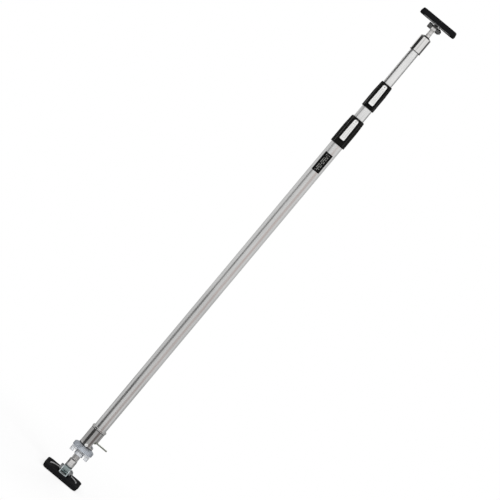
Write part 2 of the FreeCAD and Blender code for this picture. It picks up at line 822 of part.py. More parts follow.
class Clamp:
    """The formulas of one lever clamp: the tube that carries it, the tube that it grips and its heights."""

    def __init__(self, name, carrier, slider):
        self.name = name
        self.bottom = f"{name}_bottom"
        self.top = f"{name}_top"
        self.wall = f"{name}_housing_wall"
        self.socket_depth = f"{name}_socket_depth"
        self.carrier_radius = f"{carrier}_tube_radius"
        self.carrier_bore = f"{carrier}_tube_bore"
        self.slider_radius = f"{slider}_tube_radius"
        self.pivot_reach = f"({self.slider_radius} + pivot_standoff)"
        self.lever_face = f"({self.pivot_reach} + lever_barrel_radius)"
        self.lever_back = f"({self.lever_face} - lever_thickness)"
        self.boss_face = f"({self.lever_face} - lever_proud)"
        self.slot_floor = f"({self.lever_back} - lever_clearance)"
        self.lever_top = f"({self.top} - lever_top_border)"
        self.lever_bottom = f"({self.lever_top} - lever_length)"
        self.pivot_height = f"({self.lever_top} - lever_barrel_radius)"
        self.rivet_height = f"({self.bottom} + clamp_rivet_rise)"
        self.rivet_seat = f"({self.carrier_radius} + housing_fit + {self.wall})"


def cut_boss_ends(body, clamp):
    """Slopes the boss back into the collar at its foot and bevels its upper edge."""
    face = f"-{clamp.boss_face}"
    collar = f"-{clamp.rivet_seat}"
    foot = f"{clamp.bottom} + boss_foot_rise"
    brow = f"{clamp.top} - boss_top_bevel"
    slopes = new_sketch(body, "YZ_Plane")
    draw_polygon(slopes, [
        (face, foot),
        (f"{face} - {OVERRUN}", foot),
        (f"{face} - {OVERRUN}", f"{clamp.bottom} - {OVERRUN}"),
        (collar, f"{clamp.bottom} - {OVERRUN}"),
        (collar, clamp.bottom),
    ])
    draw_polygon(slopes, [
        (face, brow),
        (f"{face} + boss_top_bevel", clamp.top),
        (f"{face} + boss_top_bevel", f"{clamp.top} + {OVERRUN}"),
        (f"{face} - {OVERRUN}", f"{clamp.top} + {OVERRUN}"),
        (f"{face} - {OVERRUN}", brow),
    ])
    pocket(body, slopes, "4 * lever_width", symmetric=True)


def make_housing(clamp):
    """The moulded housing: a collar that narrows at its top, with a boss in front, slotted for the lever and
    the shoe."""
    body = new_body(clamp.name + "_clamp_housing")
    height = f"{clamp.name}_housing_height"
    foot_radius = clamp.rivet_seat
    revolve(body, "Revolution", [
        ("0", clamp.bottom),
        (foot_radius, clamp.bottom),
        (foot_radius, f"{clamp.bottom} + housing_straight_share * {height}"),
        (f"{foot_radius} - housing_taper", f"{clamp.top} - housing_edge_round"),
        (f"{foot_radius} - housing_taper - housing_edge_round", clamp.top),
        ("0", clamp.top),
    ])
    boss = new_sketch(body, "XY_Plane", clamp.bottom)
    front_half = "(lever_width / 2 + boss_cheek)"
    root_half = f"({front_half} + boss_spread)"
    root = f"-{clamp.slider_radius} / 2"
    draw_polygon(boss, [
        (f"-{root_half}", root),
        (root_half, root),
        (front_half, f"-{clamp.boss_face}"),
        (f"-{front_half}", f"-{clamp.boss_face}"),
    ])
    pad(body, boss, height)
    face_place = -number(clamp.boss_face)
    round_edges(
        body,
        lambda edge: is_upright(edge) and same(edge.BoundBox.YMin, face_place),
        "boss_edge_round",
    )
    cut_boss_ends(body, clamp)

    slider_bore = new_sketch(body, "XY_Plane", clamp.bottom)
    draw_circle(slider_bore, ("0", "0"), f"2 * ({clamp.slider_radius} + housing_bore_clearance)")
    pocket(body, slider_bore, height, reverse=True)
    socket = new_sketch(body, "XY_Plane", clamp.bottom)
    draw_circle(socket, ("0", "0"), f"2 * ({clamp.carrier_radius} + housing_fit)")
    pocket(body, socket, clamp.socket_depth, reverse=True)

    slot = new_sketch(body, "XZ_Plane", clamp.slot_floor)
    half_tip = "(lever_tip_width / 2 + lever_clearance)"
    half_end = "(lever_width / 2 + lever_clearance)"
    slot_bottom = f"{clamp.lever_bottom} - finger_gap"
    slot_top = f"{clamp.lever_top} + lever_clearance"
    draw_polygon(slot, [
        (f"-{half_end}", slot_bottom),
        (half_end, slot_bottom),
        (half_end, clamp.lever_bottom),
        (half_tip, clamp.pivot_height),
        (half_tip, slot_top),
        (f"-{half_tip}", slot_top),
        (f"-{half_tip}", clamp.pivot_height),
        (f"-{half_end}", clamp.lever_bottom),
    ])
    pocket(body, slot, f"lever_thickness + {OVERRUN}", reverse=True)
    finger_gap = new_sketch(body, "XZ_Plane", f"{clamp.slot_floor} - finger_gap_depth")
    draw_rectangle(finger_gap, f"-{half_end}", half_end, slot_bottom, clamp.lever_bottom)
    pocket(body, finger_gap, f"lever_thickness + finger_gap_depth + {OVERRUN}", reverse=True)
    barrel_room = new_sketch(body, "YZ_Plane")
    pivot = (f"-{clamp.pivot_reach}", clamp.pivot_height)
    draw_circle(barrel_room, pivot, "2 * (lever_barrel_radius + lever_clearance)")
    pocket(body, barrel_room, f"2 * {half_tip}", symmetric=True)

    shoe_way = new_sketch(body, "XZ_Plane")
    half_shoe = "(shoe_width / 2 + shoe_side_clearance)"
    shoe_low = f"{clamp.pivot_height} - shoe_height / 2 - shoe_side_clearance"
    shoe_high = f"{clamp.pivot_height} + shoe_height / 2 + shoe_side_clearance"
    draw_rectangle(shoe_way, f"-{half_shoe}", half_shoe, shoe_low, shoe_high)
    pocket(body, shoe_way, clamp.pivot_reach, reverse=True)
    pin_hole = new_sketch(body, "YZ_Plane")
    draw_circle(pin_hole, pivot, "pin_diameter + 2 * pivot_clearance")
    pocket(body, pin_hole, f"4 * {root_half}", symmetric=True)
    cut_rivet_hole(body, clamp.rivet_height, clamp.rivet_seat)


def draw_lever_outline(sketch, clamp):
    """The front view of a lever: a square lower end, tapered sides and a round top about the pivot."""
    half_end = number("lever_width / 2")
    tip_radius = number("lever_tip_width / 2")
    low = number(clamp.lever_bottom)
    shoulder = number(f"{clamp.lever_top} - lever_tip_width / 2")
    lower_left = FreeCAD.Vector(-half_end, low, 0)
    lower_right = FreeCAD.Vector(half_end, low, 0)
    upper_left = FreeCAD.Vector(-tip_radius, shoulder, 0)
    upper_right = FreeCAD.Vector(tip_radius, shoulder, 0)
    top = FreeCAD.Vector(0, shoulder + tip_radius, 0)
    sketch.addGeometry(Part.LineSegment(upper_left, lower_left), False)
    sketch.addGeometry(Part.LineSegment(lower_left, lower_right), False)
    sketch.addGeometry(Part.LineSegment(lower_right, upper_right), False)
    sketch.addGeometry(Part.Arc(upper_right, top, upper_left), False)
    for first, second in ((0, 1), (1, 2)):
        sketch.addConstraint(Sketcher.Constraint("Coincident", first, 2, second, 1))
    sketch.addConstraint(Sketcher.Constraint("Coincident", 2, 2, 3, 1))
    sketch.addConstraint(Sketcher.Constraint("Coincident", 3, 2, 0, 1))
    pin_point(sketch, 1, 1, ("-lever_width / 2", clamp.lever_bottom))
    pin_point(sketch, 1, 2, ("lever_width / 2", clamp.lever_bottom))
    pin_point(sketch, 3, 3, ("0", f"{clamp.lever_top} - lever_tip_width / 2"))
    for end in (1, 2):
        sketch.addConstraint(Sketcher.Constraint("Horizontal", 3, 3, 3, end))
    index = sketch.addConstraint(Sketcher.Constraint("Radius", 3, tip_radius))
    bind(sketch, f"Constraints[{index}]", "lever_tip_width / 2")


def make_lever(clamp):
    """A cam lever: its front outline met by its side profile, a cam, a pin hole and a channelled face."""
    pivot = (f"-{clamp.pivot_reach}", clamp.pivot_height)
    side_view = doc.addObject("PartDesign::Body", clamp.name + "_lever_side")
    plate = new_sketch(side_view, "YZ_Plane")
    draw_rectangle(
        plate, f"-{clamp.lever_face}", f"-{clamp.lever_back}", clamp.lever_bottom, clamp.pivot_height)
    pad(side_view, plate, "lever_width", symmetric=True)
    barrel = new_sketch(side_view, "YZ_Plane")
    draw_circle(barrel, pivot, "2 * lever_barrel_radius")
    pad(side_view, barrel, "lever_width", symmetric=True)

    body = new_body(clamp.name + "_clamp_lever")
    outline = new_sketch(body, "XZ_Plane", f"{clamp.pivot_reach} - lever_barrel_radius")
    draw_lever_outline(outline, clamp)
    pad(body, outline, "2 * lever_barrel_radius")
    overlap = body.newObject("PartDesign::Boolean", body.Name + "_overlap")
    overlap.setObjects([side_view])
    overlap.Type = "Common"
    doc.recompute()
    end_height = number(clamp.lever_bottom)
    round_edges(
        body,
        lambda edge: lies_at_height(edge, end_height) and same(edge.BoundBox.XLength, 0),
        "lever_corner_round",
    )

    cam = new_sketch(body, "YZ_Plane")
    draw_circle(cam, (f"-{clamp.pivot_reach} + cam_offset", clamp.pivot_height), "2 * cam_radius")
    pad(body, cam, "lever_tip_width - 2 * cam_narrowing", symmetric=True)
    pin_hole = new_sketch(body, "YZ_Plane")
    draw_circle(pin_hole, pivot, "pin_diameter + 2 * pivot_clearance")
    pocket(body, pin_hole, "2 * lever_width", symmetric=True)
    channel = new_sketch(body, "XZ_Plane", f"{clamp.lever_face} - lever_channel_depth")
    draw_rectangle(
        channel, "-lever_channel_width / 2", "lever_channel_width / 2",
        f"{clamp.lever_bottom} + lever_channel_end", f"{clamp.pivot_height} - lever_channel_end")
    pocket(body, channel, f"lever_channel_depth + {OVERRUN}", reverse=True)
    dimple = new_sketch(body, "XZ_Plane", f"{clamp.lever_face} - lever_dimple_depth")
    draw_circle(dimple, ("0", clamp.pivot_height), "lever_dimple_diameter")
    pocket(body, dimple, f"lever_dimple_depth + {OVERRUN}", reverse=True)


def make_shoe(clamp):
    """The brake shoe between the cam and the sliding tube, hollowed to the tube."""
    back = f"{clamp.pivot_reach} - cam_radius - cam_offset - shoe_gap"
    body = new_body(clamp.name + "_clamp_shoe")
    section = new_sketch(body, "XY_Plane", f"{clamp.pivot_height} - shoe_height / 2")
    draw_rectangle(section, "-shoe_width / 2", "shoe_width / 2", f"-({back})", f"-{clamp.slider_radius} / 2")
    pad(body, section, "shoe_height")
    hollow = new_sketch(body, "XY_Plane", f"{clamp.pivot_height} - shoe_height / 2")
    draw_circle(hollow, ("0", "0"), f"2 * ({clamp.slider_radius} + shoe_gap)")
    pocket(body, hollow, "shoe_height", reverse=True)


def make_clamp(clamp):
    make_housing(clamp)
    make_lever(clamp)
    make_shoe(clamp)
    pin_half = "(lever_width / 2 + boss_cheek - pin_end_inset)"
    pin = primitive(
        "Cylinder", clamp.name + "_lever_pin",
        (f"-{pin_half}", f"-{clamp.pivot_reach}", clamp.pivot_height), turn=ALONG_X,
        Radius="pin_diameter / 2",
        Height=f"2 * {pin_half}",
    )
    keep(pin, clamp.name + "_lever_pin")
    name = clamp.name + "_clamp_rivet"
    shank = primitive(
        "Cylinder", name + "_shank", ("0", clamp.carrier_bore, clamp.rivet_height), turn=ALONG_BACK,
        Radius="clamp_rivet_diameter / 2",
        Height=f"{clamp.rivet_seat} - {clamp.carrier_bore}",
    )
    head = primitive(
        "Cylinder", name + "_head", ("0", clamp.rivet_seat, clamp.rivet_height), turn=ALONG_BACK,
        Radius="clamp_rivet_head_diameter / 2",
        Height="clamp_rivet_head_height",
    )
    keep(boolean("Fuse", name, shank, head), name)


# Head

def make_head():
    stud_hole = "stud_diameter / 2 + stud_fit"
    cap_bore = "inner_tube_radius + cap_fit"
    turned("head_cap", [
        (cap_bore, "cap_bottom"),
        (f"{cap_bore} + cap_wall", "cap_bottom"),
        (f"{cap_bore} + cap_wall", "cap_top - cap_cone_height"),
        ("cap_cone_top_diameter / 2", "cap_top"),
        (stud_hole, "cap_top"),
        (stud_hole, "cap_socket_top"),
        (cap_bore, "cap_socket_top"),
    ])

    nut_bottom = "cap_socket_top - stud_nut_height"
    stud_bottom = f"{nut_bottom} - stud_end_length"
    stud = new_body("head_stud")
    rod = new_sketch(stud, "XY_Plane", stud_bottom)
    draw_circle(rod, ("0", "0"), "stud_diameter")
    pad(stud, rod, f"head_axis - ({stud_bottom})")
    eye = new_sketch(stud, "YZ_Plane")
    draw_circle(eye, ("0", "head_axis"), "head_eye_diameter")
    pad(stud, eye, "head_eye_thickness", symmetric=True)
    eye_hole = new_sketch(stud, "YZ_Plane")
    draw_circle(eye_hole, ("0", "head_axis"), "head_bolt_diameter + 2 * pivot_clearance")
    pocket(stud, eye_hole, f"head_eye_thickness + stud_diameter + {OVERRUN}", symmetric=True)

    hexagon_outside = primitive(
        "Prism", "head_stud_nut_hex", ("0", "0", nut_bottom),
        Circumradius="stud_nut_across / sqrt(3)",
        Height="stud_nut_height",
    )
    thread = primitive(
        "Cylinder", "head_stud_nut_thread", ("0", "0", nut_bottom),
        Radius=stud_hole,
        Height="stud_nut_height",
    )
    keep(boolean("Cut", "head_stud_nut", hexagon_outside, thread), "head_stud_nut")

    spacers = []
    spacer_width = "((head_ear_gap - head_eye_thickness) / 2 - 2 * spacer_play)"
    spacer_start = "(head_eye_thickness / 2 + spacer_play)"
    for left in (spacer_start, f"-{spacer_start} - {spacer_width}"):
        outside = primitive(
            "Cylinder", "head_spacer_outside", (left, "0", "head_axis"), turn=ALONG_X,
            Radius="head_spacer_diameter / 2",
            Height=spacer_width,
        )
        bore = primitive(
            "Cylinder", "head_spacer_bore", (left, "0", "head_axis"), turn=ALONG_X,
            Radius="head_bolt_diameter / 2 + pivot_clearance",
            Height=spacer_width,
        )
        spacers.append(boolean("Cut", "head_spacer", outside, bore))
    group("head_spacers", spacers)

    make_bracket("head_bracket", "head_floor", "head_axis", "head", -1)
    make_bracket_screws("head_screws", "head_floor", "head", -1)
    make_pivot_bolt("head", "head_axis")
    make_pad("head_pad", "head_sole", -1)


def make_foot():
    make_pad("foot_pad", "0", 1)
    make_bracket("foot_bracket", "foot_floor", "foot_axis", "foot", 1)
    make_bracket_screws("foot_screws", "foot_floor", "foot", 1)
    make_pivot_bolt("foot", "foot_axis")


def make_pole(lower, upper):
    make_tube("outer", "outer_tube_top", lower.rivet_height)
    make_label()
    make_tube("mid", "mid_tube_top", upper.rivet_height)
    make_tube("inner", "cap_socket_top")
    make_flanged_bush(
        "spindle_guide", "guide_bottom", "outer_tube_radius", "guide_flange_height",
        "outer_tube_bore - bush_fit", "guide_stem_length", "screw_diameter / 2 + spindle_clearance")
    for tube, outside in (("mid", "outer"), ("inner", "mid")):
        make_flanged_bush(
            f"{tube}_guide_bush", f"{tube}_tube_bottom - bush_flange_height",
            f"{outside}_tube_bore - bush_running_gap", "bush_flange_height",
            f"{tube}_tube_bore - bush_fit", "bush_stem_length",
            f"{tube}_tube_bore - bush_fit - {tube}_tube_wall")


def check_and_write():
    """Stops on any failed object or shape, then writes one file for each sub-part."""
    doc.recompute()
    for item in doc.Objects:
        if "Invalid" in item.State or "Error" in item.State:
            raise RuntimeError(item.Name + " failed")
    for item in sub_parts:
        if item.Shape.isNull() or not item.Shape.isValid() or not item.Shape.Solids:
            raise RuntimeError(item.Label + " has no valid solid")
    os.makedirs("parts", exist_ok=True)
    for item in sub_parts:
        item.Shape.exportStep(f"parts/{item.Label}.step")


fill_sheets()
lower_clamp = Clamp("lower", "outer", "mid")
upper_clamp = Clamp("upper", "mid", "inner")
make_foot()
make_spindle()
make_adjusting_nut()
make_sleeve()
make_lock()
make_pole(lower_clamp, upper_clamp)
make_clamp(lower_clamp)
make_clamp(upper_clamp)
make_head()
check_and_write()
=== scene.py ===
import json
import math

import bmesh
import bpy
from mathutils import Matrix, Vector


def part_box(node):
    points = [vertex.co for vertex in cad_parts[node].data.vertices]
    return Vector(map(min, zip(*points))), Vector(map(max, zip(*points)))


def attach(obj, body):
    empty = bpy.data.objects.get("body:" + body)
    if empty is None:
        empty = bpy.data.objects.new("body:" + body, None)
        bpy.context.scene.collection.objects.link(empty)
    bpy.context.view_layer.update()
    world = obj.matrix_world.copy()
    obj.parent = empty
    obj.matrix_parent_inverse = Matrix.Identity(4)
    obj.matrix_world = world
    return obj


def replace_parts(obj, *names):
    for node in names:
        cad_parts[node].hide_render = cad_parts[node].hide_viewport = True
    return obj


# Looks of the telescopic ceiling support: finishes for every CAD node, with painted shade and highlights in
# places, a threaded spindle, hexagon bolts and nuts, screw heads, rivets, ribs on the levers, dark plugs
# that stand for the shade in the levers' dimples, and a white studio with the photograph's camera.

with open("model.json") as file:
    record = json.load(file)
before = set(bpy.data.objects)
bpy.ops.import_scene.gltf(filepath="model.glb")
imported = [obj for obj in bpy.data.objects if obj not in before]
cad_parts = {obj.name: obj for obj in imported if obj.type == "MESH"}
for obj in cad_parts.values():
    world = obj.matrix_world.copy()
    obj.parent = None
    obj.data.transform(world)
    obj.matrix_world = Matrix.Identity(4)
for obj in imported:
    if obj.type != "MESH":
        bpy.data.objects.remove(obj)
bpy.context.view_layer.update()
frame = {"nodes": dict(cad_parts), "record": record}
nodes = frame["nodes"]
scene = bpy.context.scene

FULL_TURN = 2 * math.pi
MILLIMETRE = 0.001


# Node trees

def feed(tree, socket, source):
    """Links an output to an input, or sets the input to a plain value."""
    if isinstance(source, bpy.types.NodeSocket):
        tree.links.new(source, socket)
    else:
        socket.default_value = source


def add_node(tree, kind, inputs=None, **settings):
    """A node with its settings, and its inputs given by name or number."""
    node = tree.nodes.new(kind)
    for name, setting in settings.items():
        setattr(node, name, setting)
    for key, source in (inputs or {}).items():
        feed(tree, node.inputs[key], source)
    return node


def calculate(tree, operation, *terms):
    node = add_node(tree, "ShaderNodeMath", operation=operation)
    for socket, term in zip(node.inputs, terms):
        feed(tree, socket, term)
    return node.outputs[0]


def spread(tree, value, low, high, new_low=0.0, new_high=1.0):
    """Maps a value smoothly from one range to another, with its ends held."""
    node = add_node(tree, "ShaderNodeMapRange", interpolation_type="SMOOTHSTEP")
    for socket, source in zip(node.inputs, (value, low, high, new_low, new_high)):
        feed(tree, socket, source)
    return node.outputs[0]


# Numbers of the Mix node's sockets when it mixes colours
MIX_SHARE = 0
MIX_FIRST = 6
MIX_SECOND = 7
MIX_RESULT = 2


def mix_colours(tree, share, first, second):
    node = add_node(tree, "ShaderNodeMix", {MIX_SHARE: share, MIX_FIRST: first, MIX_SECOND: second},
                    data_type="RGBA")
    return node.outputs[MIX_RESULT]


def own_normal(tree):
    """The normal in the object's own axes, so that what depends on it stays put when the object tilts."""
    normal = add_node(tree, "ShaderNodeNewGeometry").outputs["Normal"]
    turned = add_node(tree, "ShaderNodeVectorTransform", {0: normal},
                      vector_type="NORMAL", convert_from="WORLD", convert_to="OBJECT")
    return add_node(tree, "ShaderNodeSeparateXYZ", {0: turned.outputs[0]}).outputs


def opaque(colour):
    return (*colour, 1.0)


def new_tree(name, kind, inputs, outputs):
    """A node group with named sockets, and its input and output nodes."""
    tree = bpy.data.node_groups.new(name, kind)
    for direction, sockets in (("INPUT", inputs), ("OUTPUT", outputs)):
        for socket_name, value_kind in sockets:
            tree.interface.new_socket(socket_name, in_out=direction, socket_type="NodeSocket" + value_kind)
    return tree, add_node(tree, "NodeGroupInput").outputs, add_node(tree, "NodeGroupOutput").inputs


def place_group(tree, group, **values):
    node = add_node(tree, "ShaderNodeGroup", node_tree=group)
    for name, source in values.items():
        feed(tree, node.inputs[name.replace("_", " ")], source)
    return node.outputs


# Effects that finishes are made of

def make_grain():
    """A noise that can be stretched, for drawn lines, cast skin, moulded grain and rubber."""
    tree, given, result = new_tree(
        "Grain", "ShaderNodeTree",
        [("Stretch", "Vector"), ("Size", "Float"), ("Detail", "Float")],
        [("Value", "Float")],
    )
    place = add_node(tree, "ShaderNodeTexCoord").outputs["Object"]
    stretched = add_node(tree, "ShaderNodeVectorMath", {0: place, 1: given["Stretch"]}, operation="MULTIPLY")
    noise = add_node(tree, "ShaderNodeTexNoise", {
        "Vector": stretched.outputs[0], "Scale": given["Size"], "Detail": given["Detail"]})
    feed(tree, result["Value"], spread(tree, noise.outputs[0], 0.3, 0.7))
    return tree


def make_handling_marks():
    """Roughness that wanders between two values, as on metal that hands have rubbed."""
    tree, given, result = new_tree(
        "Handling marks", "ShaderNodeTree",
        [("Size", "Float"), ("Smooth", "Float"), ("Rubbed", "Float")],
        [("Roughness", "Float")],
    )
    place = add_node(tree, "ShaderNodeTexCoord").outputs["Object"]
    clouds = add_node(tree, "ShaderNodeTexNoise", {"Vector": place, "Scale": given["Size"], "Detail": 5.0})
    roughness = spread(tree, clouds.outputs[0], 0.3, 0.7, given["Smooth"], given["Rubbed"])
    feed(tree, result["Roughness"], roughness)
    return tree


def make_edge_wear():
    """A mask along sharp edges, broken up by a noise, and the normal of slightly rounded edges."""
    tree, given, result = new_tree(
        "Edge wear", "ShaderNodeTree",
        [("Reach", "Float"), ("Amount", "Float")],
        [("Mask", "Float"), ("Rounded normal", "Vector")],
    )
    rounded = add_node(tree, "ShaderNodeBevel", {"Radius": given["Reach"]}, samples=6).outputs[0]
    true_normal = add_node(tree, "ShaderNodeNewGeometry").outputs["Normal"]
    likeness = add_node(tree, "ShaderNodeVectorMath", {0: rounded, 1: true_normal}, operation="DOT_PRODUCT")
    turned_away = calculate(tree, "SUBTRACT", 1.0, likeness.outputs["Value"])
    place = add_node(tree, "ShaderNodeTexCoord").outputs["Object"]
    breaks = add_node(tree, "ShaderNodeTexNoise", {"Vector": place, "Scale": 260.0, "Detail": 4.0})
    rubbed = calculate(tree, "MULTIPLY", spread(tree, turned_away, 0.01, 0.14),
                       spread(tree, breaks.outputs[0], 0.38, 0.62))
    feed(tree, result["Mask"], calculate(tree, "MULTIPLY", rubbed, given["Amount"]))
    feed(tree, result["Rounded normal"], rounded)
    return tree


def make_dust():
    """A mask of fine dust on faces that look up."""
    tree, given, result = new_tree(
        "Dust", "ShaderNodeTree", [("Amount", "Float")], [("Mask", "Float")])
    upward = own_normal(tree)["Z"]
    place = add_node(tree, "ShaderNodeTexCoord").outputs["Object"]
    specks = add_node(tree, "ShaderNodeTexNoise", {"Vector": place, "Scale": 90.0, "Detail": 8.0})
    settled = spread(tree, specks.outputs[0], 0.35, 0.75)
    lying = calculate(tree, "MULTIPLY", spread(tree, upward, 0.2, 1.0), settled)
    feed(tree, result["Mask"], calculate(tree, "MULTIPLY", lying, given["Amount"]))
    return tree


def make_recess_shade():
    """A mask of painted shade in recesses and along joints, from ambient occlusion and broken by a noise."""
    tree, given, result = new_tree(
        "Recess shade", "ShaderNodeTree",
        [("Reach", "Float"), ("Amount", "Float")],
        [("Mask", "Float")],
    )
    shade = add_node(tree, "ShaderNodeAmbientOcclusion", {"Distance": given["Reach"]}, samples=8)
    place = add_node(tree, "ShaderNodeTexCoord").outputs["Object"]
    clouds = add_node(tree, "ShaderNodeTexNoise", {"Vector": place, "Scale": 180.0, "Detail": 4.0})
    in_shade = calculate(tree, "MULTIPLY", spread(tree, shade.outputs["AO"], 0.15, 0.75, 1.0, 0.0),
                         spread(tree, clouds.outputs[0], 0.3, 0.6, 0.6, 1.0))
    feed(tree, result["Mask"], calculate(tree, "MULTIPLY", in_shade, given["Amount"]))
    return tree


def make_print_lines():
    """A mask of plain broken lines along the pole, as print on a round label that says nothing."""
    tree, given, result = new_tree(
        "Print lines", "ShaderNodeTree",
        [("Radius", "Float"), ("Pitch", "Float"), ("Middle", "Float"), ("Half length", "Float"),
         ("Half width", "Float")],
        [("Mask", "Float")],
    )
    place = add_node(tree, "ShaderNodeTexCoord").outputs["Object"]
    spot = add_node(tree, "ShaderNodeSeparateXYZ", {0: place}).outputs
    turn = calculate(tree, "ARCTAN2", spot["X"], calculate(tree, "MULTIPLY", spot["Y"], -1.0))
    across = calculate(tree, "MULTIPLY", turn, given["Radius"])
    along = calculate(tree, "SUBTRACT", spot["Z"], given["Middle"])
    lines_over = calculate(tree, "DIVIDE", across, given["Pitch"])
    line_number = calculate(tree, "ROUND", lines_over)
    off_line = calculate(tree, "ABSOLUTE", calculate(tree, "SUBTRACT", lines_over, line_number))
    seed = add_node(tree, "ShaderNodeCombineXYZ", {
        "X": calculate(tree, "MULTIPLY", line_number, 7.3), "Y": calculate(tree, "MULTIPLY", along, 260.0)})
    dashes = add_node(tree, "ShaderNodeTexNoise", {"Vector": seed.outputs[0], "Scale": 1.0, "Detail": 1.0})
    mask = calculate(tree, "MULTIPLY", spread(tree, off_line, 0.20, 0.30, 1.0, 0.0),
                     spread(tree, dashes.outputs[0], 0.44, 0.48))
    for distance, limit in ((across, given["Half width"]), (along, given["Half length"])):
        inside = calculate(tree, "LESS_THAN", calculate(tree, "ABSOLUTE", distance), limit)
        mask = calculate(tree, "MULTIPLY", mask, inside)
    feed(tree, result["Mask"], mask)
    return tree


def make_slope_highlight():
    """A mask of painted highlight on the sloping wall of a round dish about the pole, between two radii."""
    tree, given, result = new_tree(
        "Slope highlight", "ShaderNodeTree",
        [("Inner", "Float"), ("Outer", "Float")],
        [("Mask", "Float")],
    )
    slope = calculate(tree, "ABSOLUTE", own_normal(tree)["Z"])
    place = add_node(tree, "ShaderNodeTexCoord").outputs["Object"]
    level = add_node(tree, "ShaderNodeVectorMath", {0: place, 1: (1, 1, 0)}, operation="MULTIPLY").outputs[0]
    radius = add_node(tree, "ShaderNodeVectorMath", {0: level}, operation="LENGTH").outputs["Value"]
    highlight_breaks = add_node(tree, "ShaderNodeTexNoise", {"Vector": place, "Scale": 300.0, "Detail": 5.0})
    middle = calculate(tree, "MULTIPLY", calculate(tree, "ADD", given["Inner"], given["Outer"]), 0.5)
    mask = spread(tree, highlight_breaks.outputs[0], 0.35, 0.55, 0.5, 1.0)
    for factor in (spread(tree, slope, 0.6, 0.75), spread(tree, slope, 0.93, 0.97, 1.0, 0.0),
                   spread(tree, radius, given["Inner"], middle),
                   spread(tree, radius, middle, given["Outer"], 1.0, 0.0)):
        mask = calculate(tree, "MULTIPLY", mask, factor)
    feed(tree, result["Mask"], mask)
    return tree


def make_level_band():
    """A mask between two heights, with soft ragged edges."""
    tree, given, result = new_tree(
        "Level band", "ShaderNodeTree",
        [("Bottom", "Float"), ("Top", "Float"), ("Softness", "Float")],
        [("Mask", "Float")],
    )
    place = add_node(tree, "ShaderNodeTexCoord").outputs["Object"]
    height = add_node(tree, "ShaderNodeSeparateXYZ", {0: place}).outputs["Z"]
    noise = add_node(tree, "ShaderNodeTexNoise", {"Vector": place, "Scale": 220.0, "Detail": 4.0})
    wander = calculate(tree, "SUBTRACT", noise.outputs[0], 0.5)
    height = calculate(tree, "ADD", height, calculate(tree, "MULTIPLY", wander, given["Softness"]))
    above = spread(tree, height, given["Bottom"], calculate(tree, "ADD", given["Bottom"], given["Softness"]))
    below = spread(tree, height, calculate(tree, "SUBTRACT", given["Top"], given["Softness"]), given["Top"],
                   1.0, 0.0)
    feed(tree, result["Mask"], calculate(tree, "MULTIPLY", above, below))
    return tree


GRAIN = make_grain()
HANDLING_MARKS = make_handling_marks()
EDGE_WEAR = make_edge_wear()
DUST = make_dust()
RECESS_SHADE = make_recess_shade()
LEVEL_BAND = make_level_band()

# How a grain is stretched
EVEN = (1, 1, 1)
ALONG_POLE = (1, 1, 0.012)
ROUND_POLE = (0.06, 0.06, 1)

DUST_COLOUR = (0.36, 0.35, 0.33)
# Colour of the painted shade in recesses
RECESS_SHADE_COLOUR = (0.02, 0.02, 0.018)


def make_finish(slot, dark, light, metallic, smooth, rubbed, grain_size, bump, stretch=EVEN, detail=3.0,
                marks_size=30.0, worn=(0.8, 0.8, 0.8), wear=0.0, reach=0.5, dust=0.0, recess_shade=0.6,
                recess_shade_reach=2.0, specular=0.5):
    """One finish: two shades by its grain, roughness by handling, worn edges, painted shade in recesses, dust
    and a fine relief. Bump, reach and the reach of the painted recess shade are in millimetres."""
    material = bpy.data.materials.new(slot)
    material.use_nodes = True
    tree = material.node_tree
    shader = tree.nodes["Principled BSDF"]
    shader.inputs["Metallic"].default_value = metallic
    shader.inputs["Specular IOR Level"].default_value = specular
    grain = place_group(tree, GRAIN, Stretch=stretch, Size=grain_size, Detail=detail)["Value"]
    marks = place_group(tree, HANDLING_MARKS, Size=marks_size, Smooth=smooth, Rubbed=rubbed)["Roughness"]
    edges = place_group(tree, EDGE_WEAR, Reach=reach * MILLIMETRE, Amount=wear)
    colour = mix_colours(tree, grain, opaque(dark), opaque(light))
    colour = mix_colours(tree, edges["Mask"], colour, opaque(worn))
    # Painted shade: the colour darkens in recesses, from ambient occlusion
    shaded = place_group(tree, RECESS_SHADE, Reach=recess_shade_reach * MILLIMETRE, Amount=recess_shade)["Mask"]
    colour = mix_colours(tree, shaded, colour, opaque(RECESS_SHADE_COLOUR))
    if dust > 0:
        settled = place_group(tree, DUST, Amount=dust)["Mask"]
        colour = mix_colours(tree, settled, colour, opaque(DUST_COLOUR))
    relief = add_node(tree, "ShaderNodeBump", {
        "Strength": 1.0, "Distance": bump * MILLIMETRE, "Height": grain, "Normal": edges["Rounded normal"]})
    feed(tree, shader.inputs["Base Color"], colour)
    feed(tree, shader.inputs["Roughness"], marks)
    feed(tree, shader.inputs["Normal"], relief.outputs[0])
    return material
